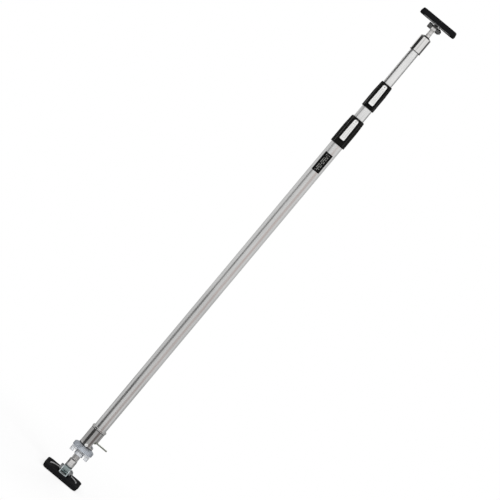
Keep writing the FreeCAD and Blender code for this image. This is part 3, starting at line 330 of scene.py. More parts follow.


# The recess settings set how much painted shade darkens a finish's recesses, and its reach in millimetres.
FINISH_SETTINGS = {
    "pad_rubber": dict(
        dark=(0.007, 0.007, 0.008), light=(0.016, 0.016, 0.017), metallic=0.0, smooth=0.34, rubbed=0.46,
        grain_size=1500.0, bump=0.03, worn=(0.03, 0.03, 0.03), wear=0.5, reach=1.2, dust=0.03, specular=0.0),
    "zinc_plate": dict(
        dark=(0.66, 0.74, 0.76), light=(0.82, 0.88, 0.88), metallic=0.45, smooth=0.22, rubbed=0.38,
        grain_size=260.0, bump=0.01, worn=(0.94, 0.96, 0.96), wear=0.9, reach=0.6, recess_shade=0.9, recess_shade_reach=7.0),
    "bolt_steel": dict(
        dark=(0.30, 0.31, 0.32), light=(0.44, 0.45, 0.45), metallic=1.0, smooth=0.20, rubbed=0.36,
        grain_size=420.0, bump=0.01, worn=(0.88, 0.88, 0.88), wear=0.7, reach=0.4, recess_shade=0.9, recess_shade_reach=5.0),
    "bright_zinc": dict(
        dark=(0.86, 0.86, 0.85), light=(0.95, 0.95, 0.94), metallic=0.3, smooth=0.22, rubbed=0.34,
        grain_size=420.0, bump=0.01, worn=(0.97, 0.97, 0.97), wear=0.5, reach=0.4, recess_shade=0.3),
    "spindle_steel": dict(
        dark=(0.56, 0.55, 0.54), light=(0.74, 0.73, 0.72), metallic=1.0, smooth=0.20, rubbed=0.34,
        grain_size=900.0, bump=0.005, stretch=ROUND_POLE, worn=(0.85, 0.85, 0.84), wear=0.6, reach=0.4),
    "cast_metal": dict(
        dark=(0.50, 0.54, 0.60), light=(0.62, 0.66, 0.72), metallic=1.0, smooth=0.28, rubbed=0.42,
        grain_size=520.0, bump=0.06, detail=5.0, worn=(0.78, 0.81, 0.85), wear=0.8, reach=0.9, dust=0.06),
    "chrome": dict(
        dark=(0.72, 0.71, 0.70), light=(0.80, 0.79, 0.78), metallic=1.0, smooth=0.05, rubbed=0.13,
        grain_size=200.0, bump=0.002, stretch=ALONG_POLE, worn=(0.86, 0.86, 0.85), wear=0.4, reach=0.5),
    "lock_steel": dict(
        dark=(0.24, 0.26, 0.22), light=(0.38, 0.40, 0.35), metallic=1.0, smooth=0.30, rubbed=0.46,
        grain_size=700.0, bump=0.02, worn=(0.60, 0.61, 0.58), wear=0.5, reach=0.4),
    "tube_aluminium": dict(
        dark=(0.72, 0.72, 0.715), light=(0.86, 0.86, 0.855), metallic=1.0, smooth=0.20, rubbed=0.32,
        grain_size=1400.0, bump=0.006, stretch=ALONG_POLE, marks_size=9.0, worn=(0.9, 0.9, 0.9), wear=0.4,
        reach=0.4),
    "bush_plastic": dict(
        dark=(0.035, 0.035, 0.036), light=(0.07, 0.07, 0.071), metallic=0.0, smooth=0.40, rubbed=0.55,
        grain_size=800.0, bump=0.02, worn=(0.16, 0.16, 0.16), wear=0.4, reach=0.4),
    "clamp_plastic": dict(
        dark=(0.003, 0.003, 0.003), light=(0.011, 0.011, 0.010), metallic=0.0, smooth=0.36, rubbed=0.50,
        grain_size=1100.0, bump=0.045, worn=(0.05, 0.05, 0.046), wear=0.6, reach=0.8, dust=0.02,
        specular=0.04),
    "lever_metal": dict(
        dark=(0.84, 0.84, 0.83), light=(0.93, 0.93, 0.92), metallic=0.55, smooth=0.26, rubbed=0.40,
        grain_size=900.0, bump=0.015, worn=(0.97, 0.97, 0.96), wear=0.7, reach=0.6),
    "label_film": dict(
        dark=(0.004, 0.004, 0.004), light=(0.010, 0.010, 0.010), metallic=0.0, smooth=0.22, rubbed=0.34,
        grain_size=350.0, bump=0.004, worn=(0.06, 0.06, 0.06), wear=0.5, reach=0.3, specular=0.04),
}
FINISHES = {slot: make_finish(slot, **settings) for slot, settings in FINISH_SETTINGS.items()}


# Print, grease, and painted highlights and shade in certain places

PRINT_COLOUR = (0.22, 0.22, 0.21)
# Colour of the painted highlight on the wall of the pad's dish
SLOPE_HIGHLIGHT_COLOUR = (0.45, 0.45, 0.45)
GREASE_COLOUR = (0.36, 0.43, 0.43)
# Colour of the painted shade line on the spindle at the top of the bracket's ears
SHADE_LINE_COLOUR = (0.10, 0.12, 0.12)
# Colour of the painted highlight on the lower part of the nut
NUT_HIGHLIGHT_COLOUR = (0.82, 0.84, 0.87)
# Colour of the painted shadow lines on the chrome
SHADOW_LINE_COLOUR = (0.16, 0.16, 0.16)
# Colour of the painted shadow of the head pad on the pivot's metal
PAD_SHADOW_COLOUR = (0.13, 0.13, 0.13)


def paint_over(material, group, colour, **values):
    """Covers a finish with a colour where a group's mask says so."""
    tree = material.node_tree
    base = tree.nodes["Principled BSDF"].inputs["Base Color"]
    mask = place_group(tree, group, **values)["Mask"]
    feed(tree, base, mix_colours(tree, mask, base.links[0].from_socket, opaque(colour)))


def paint_band(slot, colour, bottom, top, softness=MILLIMETRE):
    """Covers a finish with a colour between two heights."""
    paint_over(FINISHES[slot], LEVEL_BAND, colour, Bottom=bottom, Top=top, Softness=softness)


LABEL_MARGIN = 4.5 * MILLIMETRE
LABEL_LINE_PITCH = 4.2 * MILLIMETRE
# Radii of the painted highlight on the wall of the pad's dish
HIGHLIGHT_INNER_RADIUS = 39 * MILLIMETRE
HIGHLIGHT_OUTER_RADIUS = 44.2 * MILLIMETRE
GREASED_LENGTH = 24 * MILLIMETRE
GREASE_SOFTNESS = 2 * MILLIMETRE
# Height of the painted shade line on the spindle's tongue
SHADE_LINE_HEIGHT = 18 * MILLIMETRE
# Height of the painted highlight on the nut
NUT_HIGHLIGHT_HEIGHT = 17 * MILLIMETRE
SLEEVE_BEAD_HEIGHT = 6.5 * MILLIMETRE
# Widths of the painted shadow lines on the chrome
BEAD_SHADOW_WIDTH = 2 * MILLIMETRE
EDGE_SHADOW_WIDTH = 3 * MILLIMETRE
# Margin of the painted pad shadow round the head's pivot
PAD_SHADOW_MARGIN = 3 * MILLIMETRE

low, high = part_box("label_plate")
paint_over(
    FINISHES["label_film"], make_print_lines(), PRINT_COLOUR, Radius=-low.y, Pitch=LABEL_LINE_PITCH,
    Middle=(low.z + high.z) / 2, Half_length=(high.z - low.z) / 2 - LABEL_MARGIN,
    Half_width=high.x - LABEL_MARGIN)
# Painted highlight on the sloping wall of the pad's dish
paint_over(
    FINISHES["pad_rubber"], make_slope_highlight(), SLOPE_HIGHLIGHT_COLOUR,
    Inner=HIGHLIGHT_INNER_RADIUS, Outer=HIGHLIGHT_OUTER_RADIUS)

# Grease on the spindle's tongue, with a painted shade line at the top of the bracket's ears
low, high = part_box("spindle_end")
greased_top = low.z + GREASED_LENGTH
paint_band("spindle_steel", GREASE_COLOUR, low.z - MILLIMETRE, greased_top, GREASE_SOFTNESS)
paint_band("spindle_steel", SHADE_LINE_COLOUR, low.z + SHADE_LINE_HEIGHT, greased_top, GREASE_SOFTNESS)

# Painted highlight on the lower part of the nut, under its flange
low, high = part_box("adjusting_nut")
paint_band("cast_metal", NUT_HIGHLIGHT_COLOUR, low.z - MILLIMETRE, low.z + NUT_HIGHLIGHT_HEIGHT)

# Painted shadow lines at the lower edges of the sleeve and the cap, and below the sleeve's bead
low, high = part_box("base_sleeve")
bead_joint = high.z - SLEEVE_BEAD_HEIGHT
paint_band("chrome", SHADOW_LINE_COLOUR, low.z - MILLIMETRE, low.z + EDGE_SHADOW_WIDTH)
paint_band("chrome", SHADOW_LINE_COLOUR, bead_joint - BEAD_SHADOW_WIDTH, bead_joint + MILLIMETRE)
low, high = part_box("head_cap")
paint_band("chrome", SHADOW_LINE_COLOUR, low.z - MILLIMETRE, low.z + EDGE_SHADOW_WIDTH)

# Painted shadow of the head pad over the metal of the head's pivot
low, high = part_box("head_bracket")
for slot in ("zinc_plate", "bolt_steel"):
    paint_band(slot, PAD_SHADOW_COLOUR, low.z - PAD_SHADOW_MARGIN, high.z + PAD_SHADOW_MARGIN)

for subpart in frame["record"]["subparts"]:
    mesh = nodes[subpart["node"]].data
    mesh.materials.clear()
    mesh.materials.append(FINISHES[subpart["material_slot"]])


# Making pieces

def new_piece(name, mesh, slot):
    piece = bpy.data.objects.new(name, mesh)
    scene.collection.objects.link(piece)
    if not mesh.materials:
        mesh.materials.append(FINISHES[slot])
    return piece


def bake_tree(name, tree, slot, inputs, start_mesh=None):
    """Runs a geometry tree once and keeps its result as a plain mesh piece."""
    holder = bpy.data.objects.new(name, start_mesh or bpy.data.meshes.new(name + "_start"))
    scene.collection.objects.link(holder)
    modifier = holder.modifiers.new(name, "NODES")
    modifier.node_group = tree
    identifiers = {item.name: item.identifier for item in tree.interface.items_tree if item.in_out == "INPUT"}
    for input_name, setting in inputs.items():
        modifier[identifiers[input_name]] = setting
    modifier[identifiers["Finish"]] = FINISHES[slot]
    bpy.context.view_layer.update()
    evaluated = holder.evaluated_get(bpy.context.evaluated_depsgraph_get())
    mesh = bpy.data.meshes.new_from_object(evaluated)
    bpy.data.objects.remove(holder)
    return new_piece(name, mesh, slot)


SHARP_ANGLE = math.radians(32)


def skin_rings(name, rings, place, closed_loop=False):
    """A mesh through rings of points, closed by end faces or back to its first ring, moved to its place."""
    shape = bmesh.new()
    levels = [[shape.verts.new(point) for point in ring] for ring in rings]
    pairs = list(zip(levels, levels[1:]))
    if closed_loop:
        pairs.append((levels[-1], levels[0]))
    for lower, upper in pairs:
        count = len(lower)
        for index in range(count):
            following = (index + 1) % count
            shape.faces.new((lower[index], lower[following], upper[following], upper[index]))
    if not closed_loop:
        shape.faces.new(reversed(levels[0]))
        shape.faces.new(levels[-1])
    bmesh.ops.recalc_face_normals(shape, faces=shape.faces)
    shape.transform(place)
    mesh = bpy.data.meshes.new(name)
    shape.to_mesh(mesh)
    shape.free()
    mesh.shade_smooth()
    mesh.set_sharp_from_angle(angle=SHARP_ANGLE)
    return mesh


RING_POINTS = 48


def ring_angles():
    return [FULL_TURN * index / RING_POINTS for index in range(RING_POINTS)]


def round_ring(radius, height):
    return [Vector((radius * math.cos(angle), radius * math.sin(angle), height)) for angle in ring_angles()]


def hexagon_reach(angle, across):
    """How far a hexagon of that width across its flats reaches at an angle."""
    sector = FULL_TURN / 6
    return across / 2 / math.cos((angle % sector) - sector / 2)


def hexagon_ring(across, height, fall=0.0):
    """A hexagonal ring. Its corners lie lower than its flats where a bevel falls off at that slope."""
    ring = []
    for angle in ring_angles():
        reach = hexagon_reach(angle, across)
        drop = (reach - across / 2) * fall
        ring.append(Vector((reach * math.cos(angle), reach * math.sin(angle), height - drop)))
    return ring


# Threaded spindle

THREAD_PITCH = 4 * MILLIMETRE
THREAD_DEPTH = 1.6 * MILLIMETRE
THREAD_TIP_BEVEL = 2 * MILLIMETRE
THREAD_SIDES = 40
THREAD_ROWS_PER_TURN = 10
END_ROW_SHARE = 1e-5
MERGE_DISTANCE = 1e-6


def make_thread_tree():
    """A rod with a right-hand thread: a rolled-up grid whose radius follows its height and turn."""
    tree, given, result = new_tree(
        "Spindle thread", "GeometryNodeTree",
        [("Crest radius", "Float"), ("Depth", "Float"), ("Pitch", "Float"), ("Bottom", "Float"),
         ("Length", "Float"), ("Tip bevel", "Float"), ("Sides", "Int"), ("Rows", "Int"),
         ("Finish", "Material")],
        [("Geometry", "Geometry")],
    )
    grid = add_node(tree, "GeometryNodeMeshGrid", {
        "Size X": 1.0, "Size Y": 1.0,
        "Vertices X": calculate(tree, "ADD", given["Sides"], 1.0),
        "Vertices Y": calculate(tree, "ADD", given["Rows"], 1.0)})
    position = add_node(tree, "GeometryNodeInputPosition").outputs[0]
    spot = add_node(tree, "ShaderNodeSeparateXYZ", {0: position})
    turn = calculate(tree, "ADD", spot.outputs["X"], 0.5)
    share = calculate(tree, "ADD", spot.outputs["Y"], 0.5)
    rise = calculate(tree, "MULTIPLY", share, given["Length"])
    height = calculate(tree, "ADD", given["Bottom"], rise)
    pitches_up = calculate(tree, "DIVIDE", height, given["Pitch"])
    phase = calculate(tree, "FRACT", calculate(tree, "SUBTRACT", pitches_up, turn))
    from_middle = calculate(tree, "SUBTRACT", phase, 0.5)
    flank = calculate(tree, "MULTIPLY", calculate(tree, "ABSOLUTE", from_middle), 2.0)
    cut = calculate(tree, "MULTIPLY", spread(tree, flank, 0.3, 0.7), given["Depth"])
    threaded = calculate(tree, "SUBTRACT", given["Crest radius"], cut)
    to_tip = calculate(tree, "SUBTRACT", given["Length"], rise)
    end_radius = calculate(tree, "SUBTRACT", given["Crest radius"], given["Tip bevel"])
    tip_radius = calculate(tree, "ADD", to_tip, end_radius)
    bevelled = calculate(tree, "MINIMUM", threaded, tip_radius)
    inside = calculate(tree, "MULTIPLY", calculate(tree, "GREATER_THAN", share, END_ROW_SHARE),
                       calculate(tree, "LESS_THAN", share, 1 - END_ROW_SHARE))
    radius = calculate(tree, "MULTIPLY", bevelled, inside)
    angle = calculate(tree, "MULTIPLY", turn, FULL_TURN)
    rolled = add_node(tree, "ShaderNodeCombineXYZ", {
        "X": calculate(tree, "MULTIPLY", radius, calculate(tree, "COSINE", angle)),
        "Y": calculate(tree, "MULTIPLY", radius, calculate(tree, "SINE", angle)),
        "Z": height})
    moved = add_node(tree, "GeometryNodeSetPosition", {
        "Geometry": grid.outputs["Mesh"], "Position": rolled.outputs[0]})
    closed = add_node(tree, "GeometryNodeMergeByDistance", {
        "Geometry": moved.outputs[0], "Distance": MERGE_DISTANCE})
    smooth = add_node(tree, "GeometryNodeSetShadeSmooth", {"Geometry": closed.outputs[0]})
    finished = add_node(tree, "GeometryNodeSetMaterial", {
        "Geometry": smooth.outputs[0], "Material": given["Finish"]})
    feed(tree, result["Geometry"], finished.outputs[0])
    return tree


low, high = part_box("spindle_screw")
spindle_length = high.z - low.z
spindle = bake_tree("threaded_spindle", make_thread_tree(), "spindle_steel", {
    "Crest radius": high.x,
    "Depth": THREAD_DEPTH,
    "Pitch": THREAD_PITCH,
    "Bottom": low.z,
    "Length": spindle_length,
    "Tip bevel": THREAD_TIP_BEVEL,
    "Sides": THREAD_SIDES,
    "Rows": round(THREAD_ROWS_PER_TURN * spindle_length / THREAD_PITCH),
})
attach(spindle, "spindle")
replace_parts(spindle, "spindle_screw")


# Hexagon bolts and nuts of the two pivots

BEVEL_SLOPE = math.tan(math.radians(30))
BEVEL_SHARE = 0.94
BOLT_END_BEVEL = 0.8 * MILLIMETRE
UNDER_HEAD_BEVEL = 0.3 * MILLIMETRE
HEAD_DISH_SHARE = 0.55
HEAD_DISH_DEPTH = 0.25 * MILLIMETRE
COLLAR_START_SHARE = 0.68
COLLAR_RADIUS_SHARE = 0.93
COLLAR_ROUND_SHARE = 0.6
COLLAR_ROUND_STEPS = 4


def along_x(start, axis_height, facing=1):
    """The place of a piece made along +Z that is to run along X from a starting point."""
    turn = Matrix.Rotation(facing * math.pi / 2, 4, "Y")
    return Matrix.Translation((start, 0, axis_height)) @ turn


def hexagon_bolt(pivot, head_height, across, shank_radius):
    """A bolt with a bevelled head, run from the end of its shank to its head."""
    low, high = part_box(pivot + "_bolt")
    axis_height = (low.z + high.z) / 2
    length = high.x - low.x
    seat = length - head_height
    bevel_radius = across / 2 * BEVEL_SHARE
    rings = [
        round_ring(shank_radius - BOLT_END_BEVEL, 0),
        round_ring(shank_radius, BOLT_END_BEVEL),
        round_ring(shank_radius, seat),
        round_ring(bevel_radius, seat),
        hexagon_ring(across, seat + UNDER_HEAD_BEVEL),
        hexagon_ring(across, length - (across / 2 - bevel_radius) * BEVEL_SLOPE, BEVEL_SLOPE),
        round_ring(bevel_radius, length),
        round_ring(bevel_radius * HEAD_DISH_SHARE, length - HEAD_DISH_DEPTH),
    ]
    mesh = skin_rings(pivot + "_hexagon_bolt", rings, along_x(high.x, axis_height, -1))
    bolt = new_piece(pivot + "_hexagon_bolt", mesh, "bolt_steel")
    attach(bolt, pivot)
    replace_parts(bolt, pivot + "_bolt")


def locking_nut(pivot, across, bore_radius):
    """A hexagon nut with a rounded locking collar on its outer end."""
    low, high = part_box(pivot + "_nut")
    axis_height = (low.z + high.z) / 2
    height = high.x - low.x
    collar_start = height * COLLAR_START_SHARE
    bevel_radius = across / 2 * BEVEL_SHARE
    bevel_height = (across / 2 - bevel_radius) * BEVEL_SLOPE
    collar_radius = bevel_radius * COLLAR_RADIUS_SHARE
    collar_round = (height - collar_start) * COLLAR_ROUND_SHARE
    rings = [
        round_ring(bore_radius, 0),
        round_ring(bevel_radius, 0),
        hexagon_ring(across, bevel_height, -BEVEL_SLOPE),
        hexagon_ring(across, collar_start - bevel_height, BEVEL_SLOPE),
        round_ring(bevel_radius, collar_start),
        round_ring(collar_radius, collar_start),
        round_ring(collar_radius, height - collar_round),
    ]
    for step in range(1, COLLAR_ROUND_STEPS + 1):
        lean = math.pi / 2 * step / COLLAR_ROUND_STEPS
        rings.append(round_ring(collar_radius - collar_round * (1 - math.cos(lean)),
                                height - collar_round * (1 - math.sin(lean))))
    rings.append(round_ring(bore_radius, height))
    mesh = skin_rings(pivot + "_locking_nut", rings, along_x(low.x, axis_height), closed_loop=True)
    nut = new_piece(pivot + "_locking_nut", mesh, "bolt_steel")
    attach(nut, pivot)
    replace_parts(nut, pivot + "_nut")


FOOT_HEXAGON = 17 * MILLIMETRE
FOOT_BOLT_RADIUS = 4.95 * MILLIMETRE
FOOT_BOLT_HEAD = 6.4 * MILLIMETRE
HEAD_HEXAGON = 13 * MILLIMETRE
HEAD_BOLT_RADIUS = 3.95 * MILLIMETRE
HEAD_BOLT_HEAD = 7.2 * MILLIMETRE
NUT_FIT = 0.05 * MILLIMETRE

hexagon_bolt("foot", FOOT_BOLT_HEAD, FOOT_HEXAGON, FOOT_BOLT_RADIUS)
locking_nut("foot", FOOT_HEXAGON, FOOT_BOLT_RADIUS + NUT_FIT)
hexagon_bolt("head", HEAD_BOLT_HEAD, HEAD_HEXAGON, HEAD_BOLT_RADIUS)
locking_nut("head", HEAD_HEXAGON, HEAD_BOLT_RADIUS + NUT_FIT)


# Screws and rivets

SHANK_BEVEL_SHARE = 0.2
HEAD_EDGE_SHARE = 0.18
HEAD_TOP_SHARE = 0.06
HEAD_ROUND_STEPS = 7
SOCKET_RIM_SHARE = 0.62
SOCKET_DEPTH_SHARE = 0.6
SOCKET_POINT_SHARE = 0.7
SOCKET_POINT_WIDTH = 0.1


def button_screw(name, head_radius, head_height, shank_radius, shank_length, socket_across=0.0):
    """A screw or rivet with a rounded head on z = 0, with a hexagon socket in it where a width is given."""
    rings = [
        round_ring(shank_radius * (1 - SHANK_BEVEL_SHARE), -shank_length),
        round_ring(shank_radius, -shank_length + shank_radius * SHANK_BEVEL_SHARE),
        round_ring(shank_radius, 0),
        round_ring(head_radius, 0),
    ]
    top_share = max(socket_across * SOCKET_RIM_SHARE / head_radius, HEAD_TOP_SHARE)
    for step in range(1, HEAD_ROUND_STEPS + 1):
        share = 1 - (1 - top_share) * step / HEAD_ROUND_STEPS
        rise = HEAD_EDGE_SHARE + (1 - HEAD_EDGE_SHARE) * math.sin(math.acos(share))
        rings.append(round_ring(head_radius * share, head_height * rise))
    if socket_across > 0:
        rim = rings[-1][0].z
        rings.append(hexagon_ring(socket_across, rim))
        rings.append(hexagon_ring(socket_across, rim - head_height * SOCKET_DEPTH_SHARE))
        rings.append(round_ring(socket_across * SOCKET_POINT_WIDTH, rim - head_height * SOCKET_POINT_SHARE))
    return skin_rings(name, rings, Matrix.Identity(4))


def make_fastener_tree():
    """Sets one fastener on each seat point, with its axis along the direction kept with the point."""
    tree, given, result = new_tree(
        "Fasteners on seats", "GeometryNodeTree",
        [("Seats", "Geometry"), ("Fastener", "Object"), ("Finish", "Material")],
        [("Geometry", "Geometry")],
    )
    facing = add_node(tree, "GeometryNodeInputNamedAttribute", {"Name": "facing"}, data_type="FLOAT_VECTOR")
    turned = add_node(tree, "FunctionNodeAlignRotationToVector", {"Vector": facing.outputs[0]}, axis="Z")
    shape = add_node(tree, "GeometryNodeObjectInfo", {"Object": given["Fastener"]})
    placed = add_node(tree, "GeometryNodeInstanceOnPoints", {
        "Points": given["Seats"], "Instance": shape.outputs["Geometry"], "Rotation": turned.outputs[0]})
    realized = add_node(tree, "GeometryNodeRealizeInstances", {"Geometry": placed.outputs[0]})
    finished = add_node(tree, "GeometryNodeSetMaterial", {
        "Geometry": realized.outputs[0], "Material": given["Finish"]})
    feed(tree, result["Geometry"], finished.outputs[0])
    return tree


FASTENER_TREE = make_fastener_tree()


def set_on_seats(name, body, shape, seats, slot):
    """One copy of a shape on each seat, given as place and direction, as a piece that rides on a body."""
    source = bpy.data.objects.new(name + "_shape", shape)
    scene.collection.objects.link(source)
    seat_mesh = bpy.data.meshes.new(name + "_seats")
    seat_mesh.from_pydata([place for place, facing in seats], [], [])
    facings = seat_mesh.attributes.new("facing", "FLOAT_VECTOR", "POINT")
    for index, (place, facing) in enumerate(seats):
        facings.data[index].vector = facing
    piece = bake_tree(name, FASTENER_TREE, slot, {"Fastener": source}, seat_mesh)
    bpy.data.objects.remove(source)
    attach(piece, body)
    return piece


def set_fasteners(node, body, shape, seats, slot="bolt_steel"):
    """Replaces a node of fasteners by one detailed fastener on each seat."""
    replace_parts(set_on_seats("detailed_" + node, body, shape, seats, slot), node)


BRACKET_SCREW_HEAD = 2.6 * MILLIMETRE
BRACKET_SCREW_RADIUS = 2.5 * MILLIMETRE
BRACKET_SCREW_SOCKET = 3 * MILLIMETRE


def set_bracket_screws(pivot, facing):
    """The two screws of a bracket, seated on its plate."""
    low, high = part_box(pivot + "_screws")
    head_radius = high.x
    spacing = high.y - low.y - 2 * head_radius
    seat_height = high.z - BRACKET_SCREW_HEAD if facing > 0 else low.z + BRACKET_SCREW_HEAD
    shank_length = high.z - low.z - BRACKET_SCREW_HEAD
    shape = button_screw(pivot + "_bracket_screw", head_radius, BRACKET_SCREW_HEAD, BRACKET_SCREW_RADIUS,
                         shank_length, BRACKET_SCREW_SOCKET)
    seats = [((0, side * spacing / 2, seat_height), (0, 0, facing)) for side in (-1, 1)]
    set_fasteners(pivot + "_screws", pivot, shape, seats)


set_bracket_screws("foot", 1)
set_bracket_screws("head", -1)

SLEEVE_SCREW_HEAD = 2.6 * MILLIMETRE
SLEEVE_SCREW_RADIUS = 2 * MILLIMETRE
SLEEVE_SCREW_LENGTH = 5.3 * MILLIMETRE
SLEEVE_SCREW_SOCKET = 2.5 * MILLIMETRE

low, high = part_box("sleeve_screws")
sleeve_seat = high.y - SLEEVE_SCREW_HEAD
sleeve_screw = button_screw("sleeve_screw", high.x, SLEEVE_SCREW_HEAD, SLEEVE_SCREW_RADIUS,
                            SLEEVE_SCREW_LENGTH, SLEEVE_SCREW_SOCKET)
set_fasteners("sleeve_screws", "pole", sleeve_screw, [
    ((0, side * sleeve_seat, (low.z + high.z) / 2), (0, side, 0)) for side in (-1, 1)], "bright_zinc")

RIVET_HEAD = 1.4 * MILLIMETRE
RIVET_RADIUS = 2 * MILLIMETRE

for clamp, body in (("lower", "pole"), ("upper", "mid")):
    low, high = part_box(clamp + "_clamp_rivet")
    rivet_seat = high.y - RIVET_HEAD
    rivet = button_screw(clamp + "_rivet", high.x, RIVET_HEAD, RIVET_RADIUS, rivet_seat - low.y)
    set_fasteners(clamp + "_clamp_rivet", body, rivet, [((0, rivet_seat, (low.z + high.z) / 2), (0, 1, 0))])


# Ribs on the levers, and dark plugs that stand for the shade in their dimples

LEVER_CHANNEL_DEPTH = 0.8 * MILLIMETRE
LEVER_RIBS = 17
LEVER_RIB_PITCH = 2.6 * MILLIMETRE
LEVER_RIB_SIZE = (7.4 * MILLIMETRE, 1.0 * MILLIMETRE, 1.3 * MILLIMETRE)
LEVER_FIRST_RIB = 8.3 * MILLIMETRE
LEVER_BARREL_RADIUS = 6.3 * MILLIMETRE
LEVER_DIMPLE_DEPTH = 1.2 * MILLIMETRE
# Sizes of the dark plug that stands for the shade in a lever's dimple
SHADE_PLUG_RADIUS = 1.25 * MILLIMETRE
SHADE_PLUG_HEAD = 0.8 * MILLIMETRE
SHADE_PLUG_SHANK_RADIUS = 1 * MILLIMETRE
SHADE_PLUG_SHANK_LENGTH = 0.5 * MILLIMETRE
RIB_SIDES = 12


def make_rib_tree():
    """A row of half-round ribs, one above the other."""
    tree, given, result = new_tree(
        "Rib row", "GeometryNodeTree",
        [("Start", "Vector"), ("Count", "Int"), ("Pitch", "Float"), ("Rib size", "Vector"),
         ("Finish", "Material")],
        [("Geometry", "Geometry")],
    )
    step = add_node(tree, "ShaderNodeCombineXYZ", {"Z": given["Pitch"]})
    row = add_node(tree, "GeometryNodeMeshLine", {
        "Count": given["Count"], "Start Location": given["Start"], "Offset": step.outputs[0]})
    bar = add_node(tree, "GeometryNodeMeshCylinder", {"Vertices": RIB_SIDES, "Radius": 0.5, "Depth": 1.0})
    lying = add_node(tree, "GeometryNodeTransform", {
        "Geometry": bar.outputs["Mesh"], "Rotation": (0, math.pi / 2, 0)})
    placed = add_node(tree, "GeometryNodeInstanceOnPoints", {
        "Points": row.outputs[0], "Instance": lying.outputs[0], "Scale": given["Rib size"]})
    realized = add_node(tree, "GeometryNodeRealizeInstances", {"Geometry": placed.outputs[0]})
    finished = add_node(tree, "GeometryNodeSetMaterial", {
        "Geometry": realized.outputs[0], "Material": given["Finish"]})
    feed(tree, result["Geometry"], finished.outputs[0])
    return tree


RIB_TREE = make_rib_tree()


def add_lever_ribs(clamp):
    """Cross ribs on the floor of the channel in a lever's face."""
    low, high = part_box(clamp + "_clamp_lever")
    ribs = bake_tree(clamp + "_lever_ribs", RIB_TREE, "lever_metal", {
        "Start": (0.0, low.y + LEVER_CHANNEL_DEPTH, low.z + LEVER_FIRST_RIB),
        "Count": LEVER_RIBS,
        "Pitch": LEVER_RIB_PITCH,
        "Rib size": LEVER_RIB_SIZE,
    })
    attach(ribs, clamp + "_lever")


def add_dimple_shade_plug(clamp):
    """A dark plug in the dimple at the hinge end of a lever, which stands for the shade inside the dimple."""
    low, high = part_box(clamp + "_clamp_lever")
    shade_plug = button_screw(clamp + "_plug", SHADE_PLUG_RADIUS, SHADE_PLUG_HEAD, SHADE_PLUG_SHANK_RADIUS, SHADE_PLUG_SHANK_LENGTH)
    seat = (0, low.y + LEVER_DIMPLE_DEPTH, high.z - LEVER_BARREL_RADIUS)
    set_on_seats(clamp + "_lever_plug", clamp + "_lever", shade_plug, [(seat, (0, -1, 0))], "bush_plastic")


for clamp in ("lower", "upper"):
    add_lever_ribs(clamp)
    add_dimple_shade_plug(clamp)


# Studio

def grey(level):
    return (level, level, level)


WARM_TINT = (1.08, 0.96, 0.93)


def warm(level):
    return tuple(share * level for share in WARM_TINT)


def seen_directly(tree):
    """1 for what the camera sees, also in metal and through glass, and 0 for light that the surface gives."""
    path = add_node(tree, "ShaderNodeLightPath").outputs
    seen = calculate(tree, "MAXIMUM", path["Is Camera Ray"], path["Is Glossy Ray"])
    return calculate(tree, "MAXIMUM", seen, path["Is Transmission Ray"])


FLOOR_RADIUS = 1.2
FLOOR_SIDES = 96
FLOOR_DROP = 0.2 * MILLIMETRE
FLOOR_COLOUR = grey(0.93)
FLOOR_ROUGHNESS = 0.9
# Distances from the pole between which the floor fades into the white, and the white's least share
FADE_START = 0.15
FADE_END = 0.8
LEAST_WHITE = 0.75


def make_floor():
    """A pale round floor that keeps the shadow near the object and fades into the white round it. It lies a
    touch below the sole and is clear from below."""
    bpy.ops.mesh.primitive_circle_add(
        vertices=FLOOR_SIDES, radius=FLOOR_RADIUS, fill_type="NGON", location=(0, 0, -FLOOR_DROP))
    floor = bpy.context.object
    floor.name = "studio_floor"
    material = bpy.data.materials.new("studio_floor")
    material.use_nodes = True
    tree = material.node_tree
    pale = tree.nodes["Principled BSDF"]
    pale.inputs["Base Color"].default_value = opaque(FLOOR_COLOUR)
    pale.inputs["Roughness"].default_value = FLOOR_ROUGHNESS
    pale.inputs["Specular IOR Level"].default_value = 0.0
    place = add_node(tree, "ShaderNodeTexCoord").outputs["Object"]
    distance = add_node(tree, "ShaderNodeVectorMath", {0: place}, operation="LENGTH").outputs["Value"]
    white = add_node(tree, "ShaderNodeEmission", {"Strength": 1.0})
    fade = spread(tree, distance, FADE_START, FADE_END, LEAST_WHITE, 1.0)
    mixed = add_node(tree, "ShaderNodeMixShader", {
        0: calculate(tree, "MULTIPLY", fade, seen_directly(tree)), 1: pale.outputs[0], 2: white.outputs[0]})
    clear = add_node(tree, "ShaderNodeBsdfTransparent")
    from_below = add_node(tree, "ShaderNodeNewGeometry").outputs["Backfacing"]
    surface = add_node(tree, "ShaderNodeMixShader", {
        0: from_below, 1: mixed.outputs[0], 2: clear.outputs[0]})
    feed(tree, tree.nodes["Material Output"].inputs["Surface"], surface.outputs[0])
    floor.data.materials.append(material)


STUDIO_LIGHT = 0.62


def make_world():
    """White behind the object and in what metal reflects, and soft even light from all sides."""
    world = bpy.data.worlds.new("studio")
    scene.world = world
    world.use_nodes = True
    tree = world.node_tree
    shown = mix_colours(tree, seen_directly(tree), opaque(grey(STUDIO_LIGHT)), opaque(grey(1.0)))
    feed(tree, tree.nodes["Background"].inputs["Color"], shown)


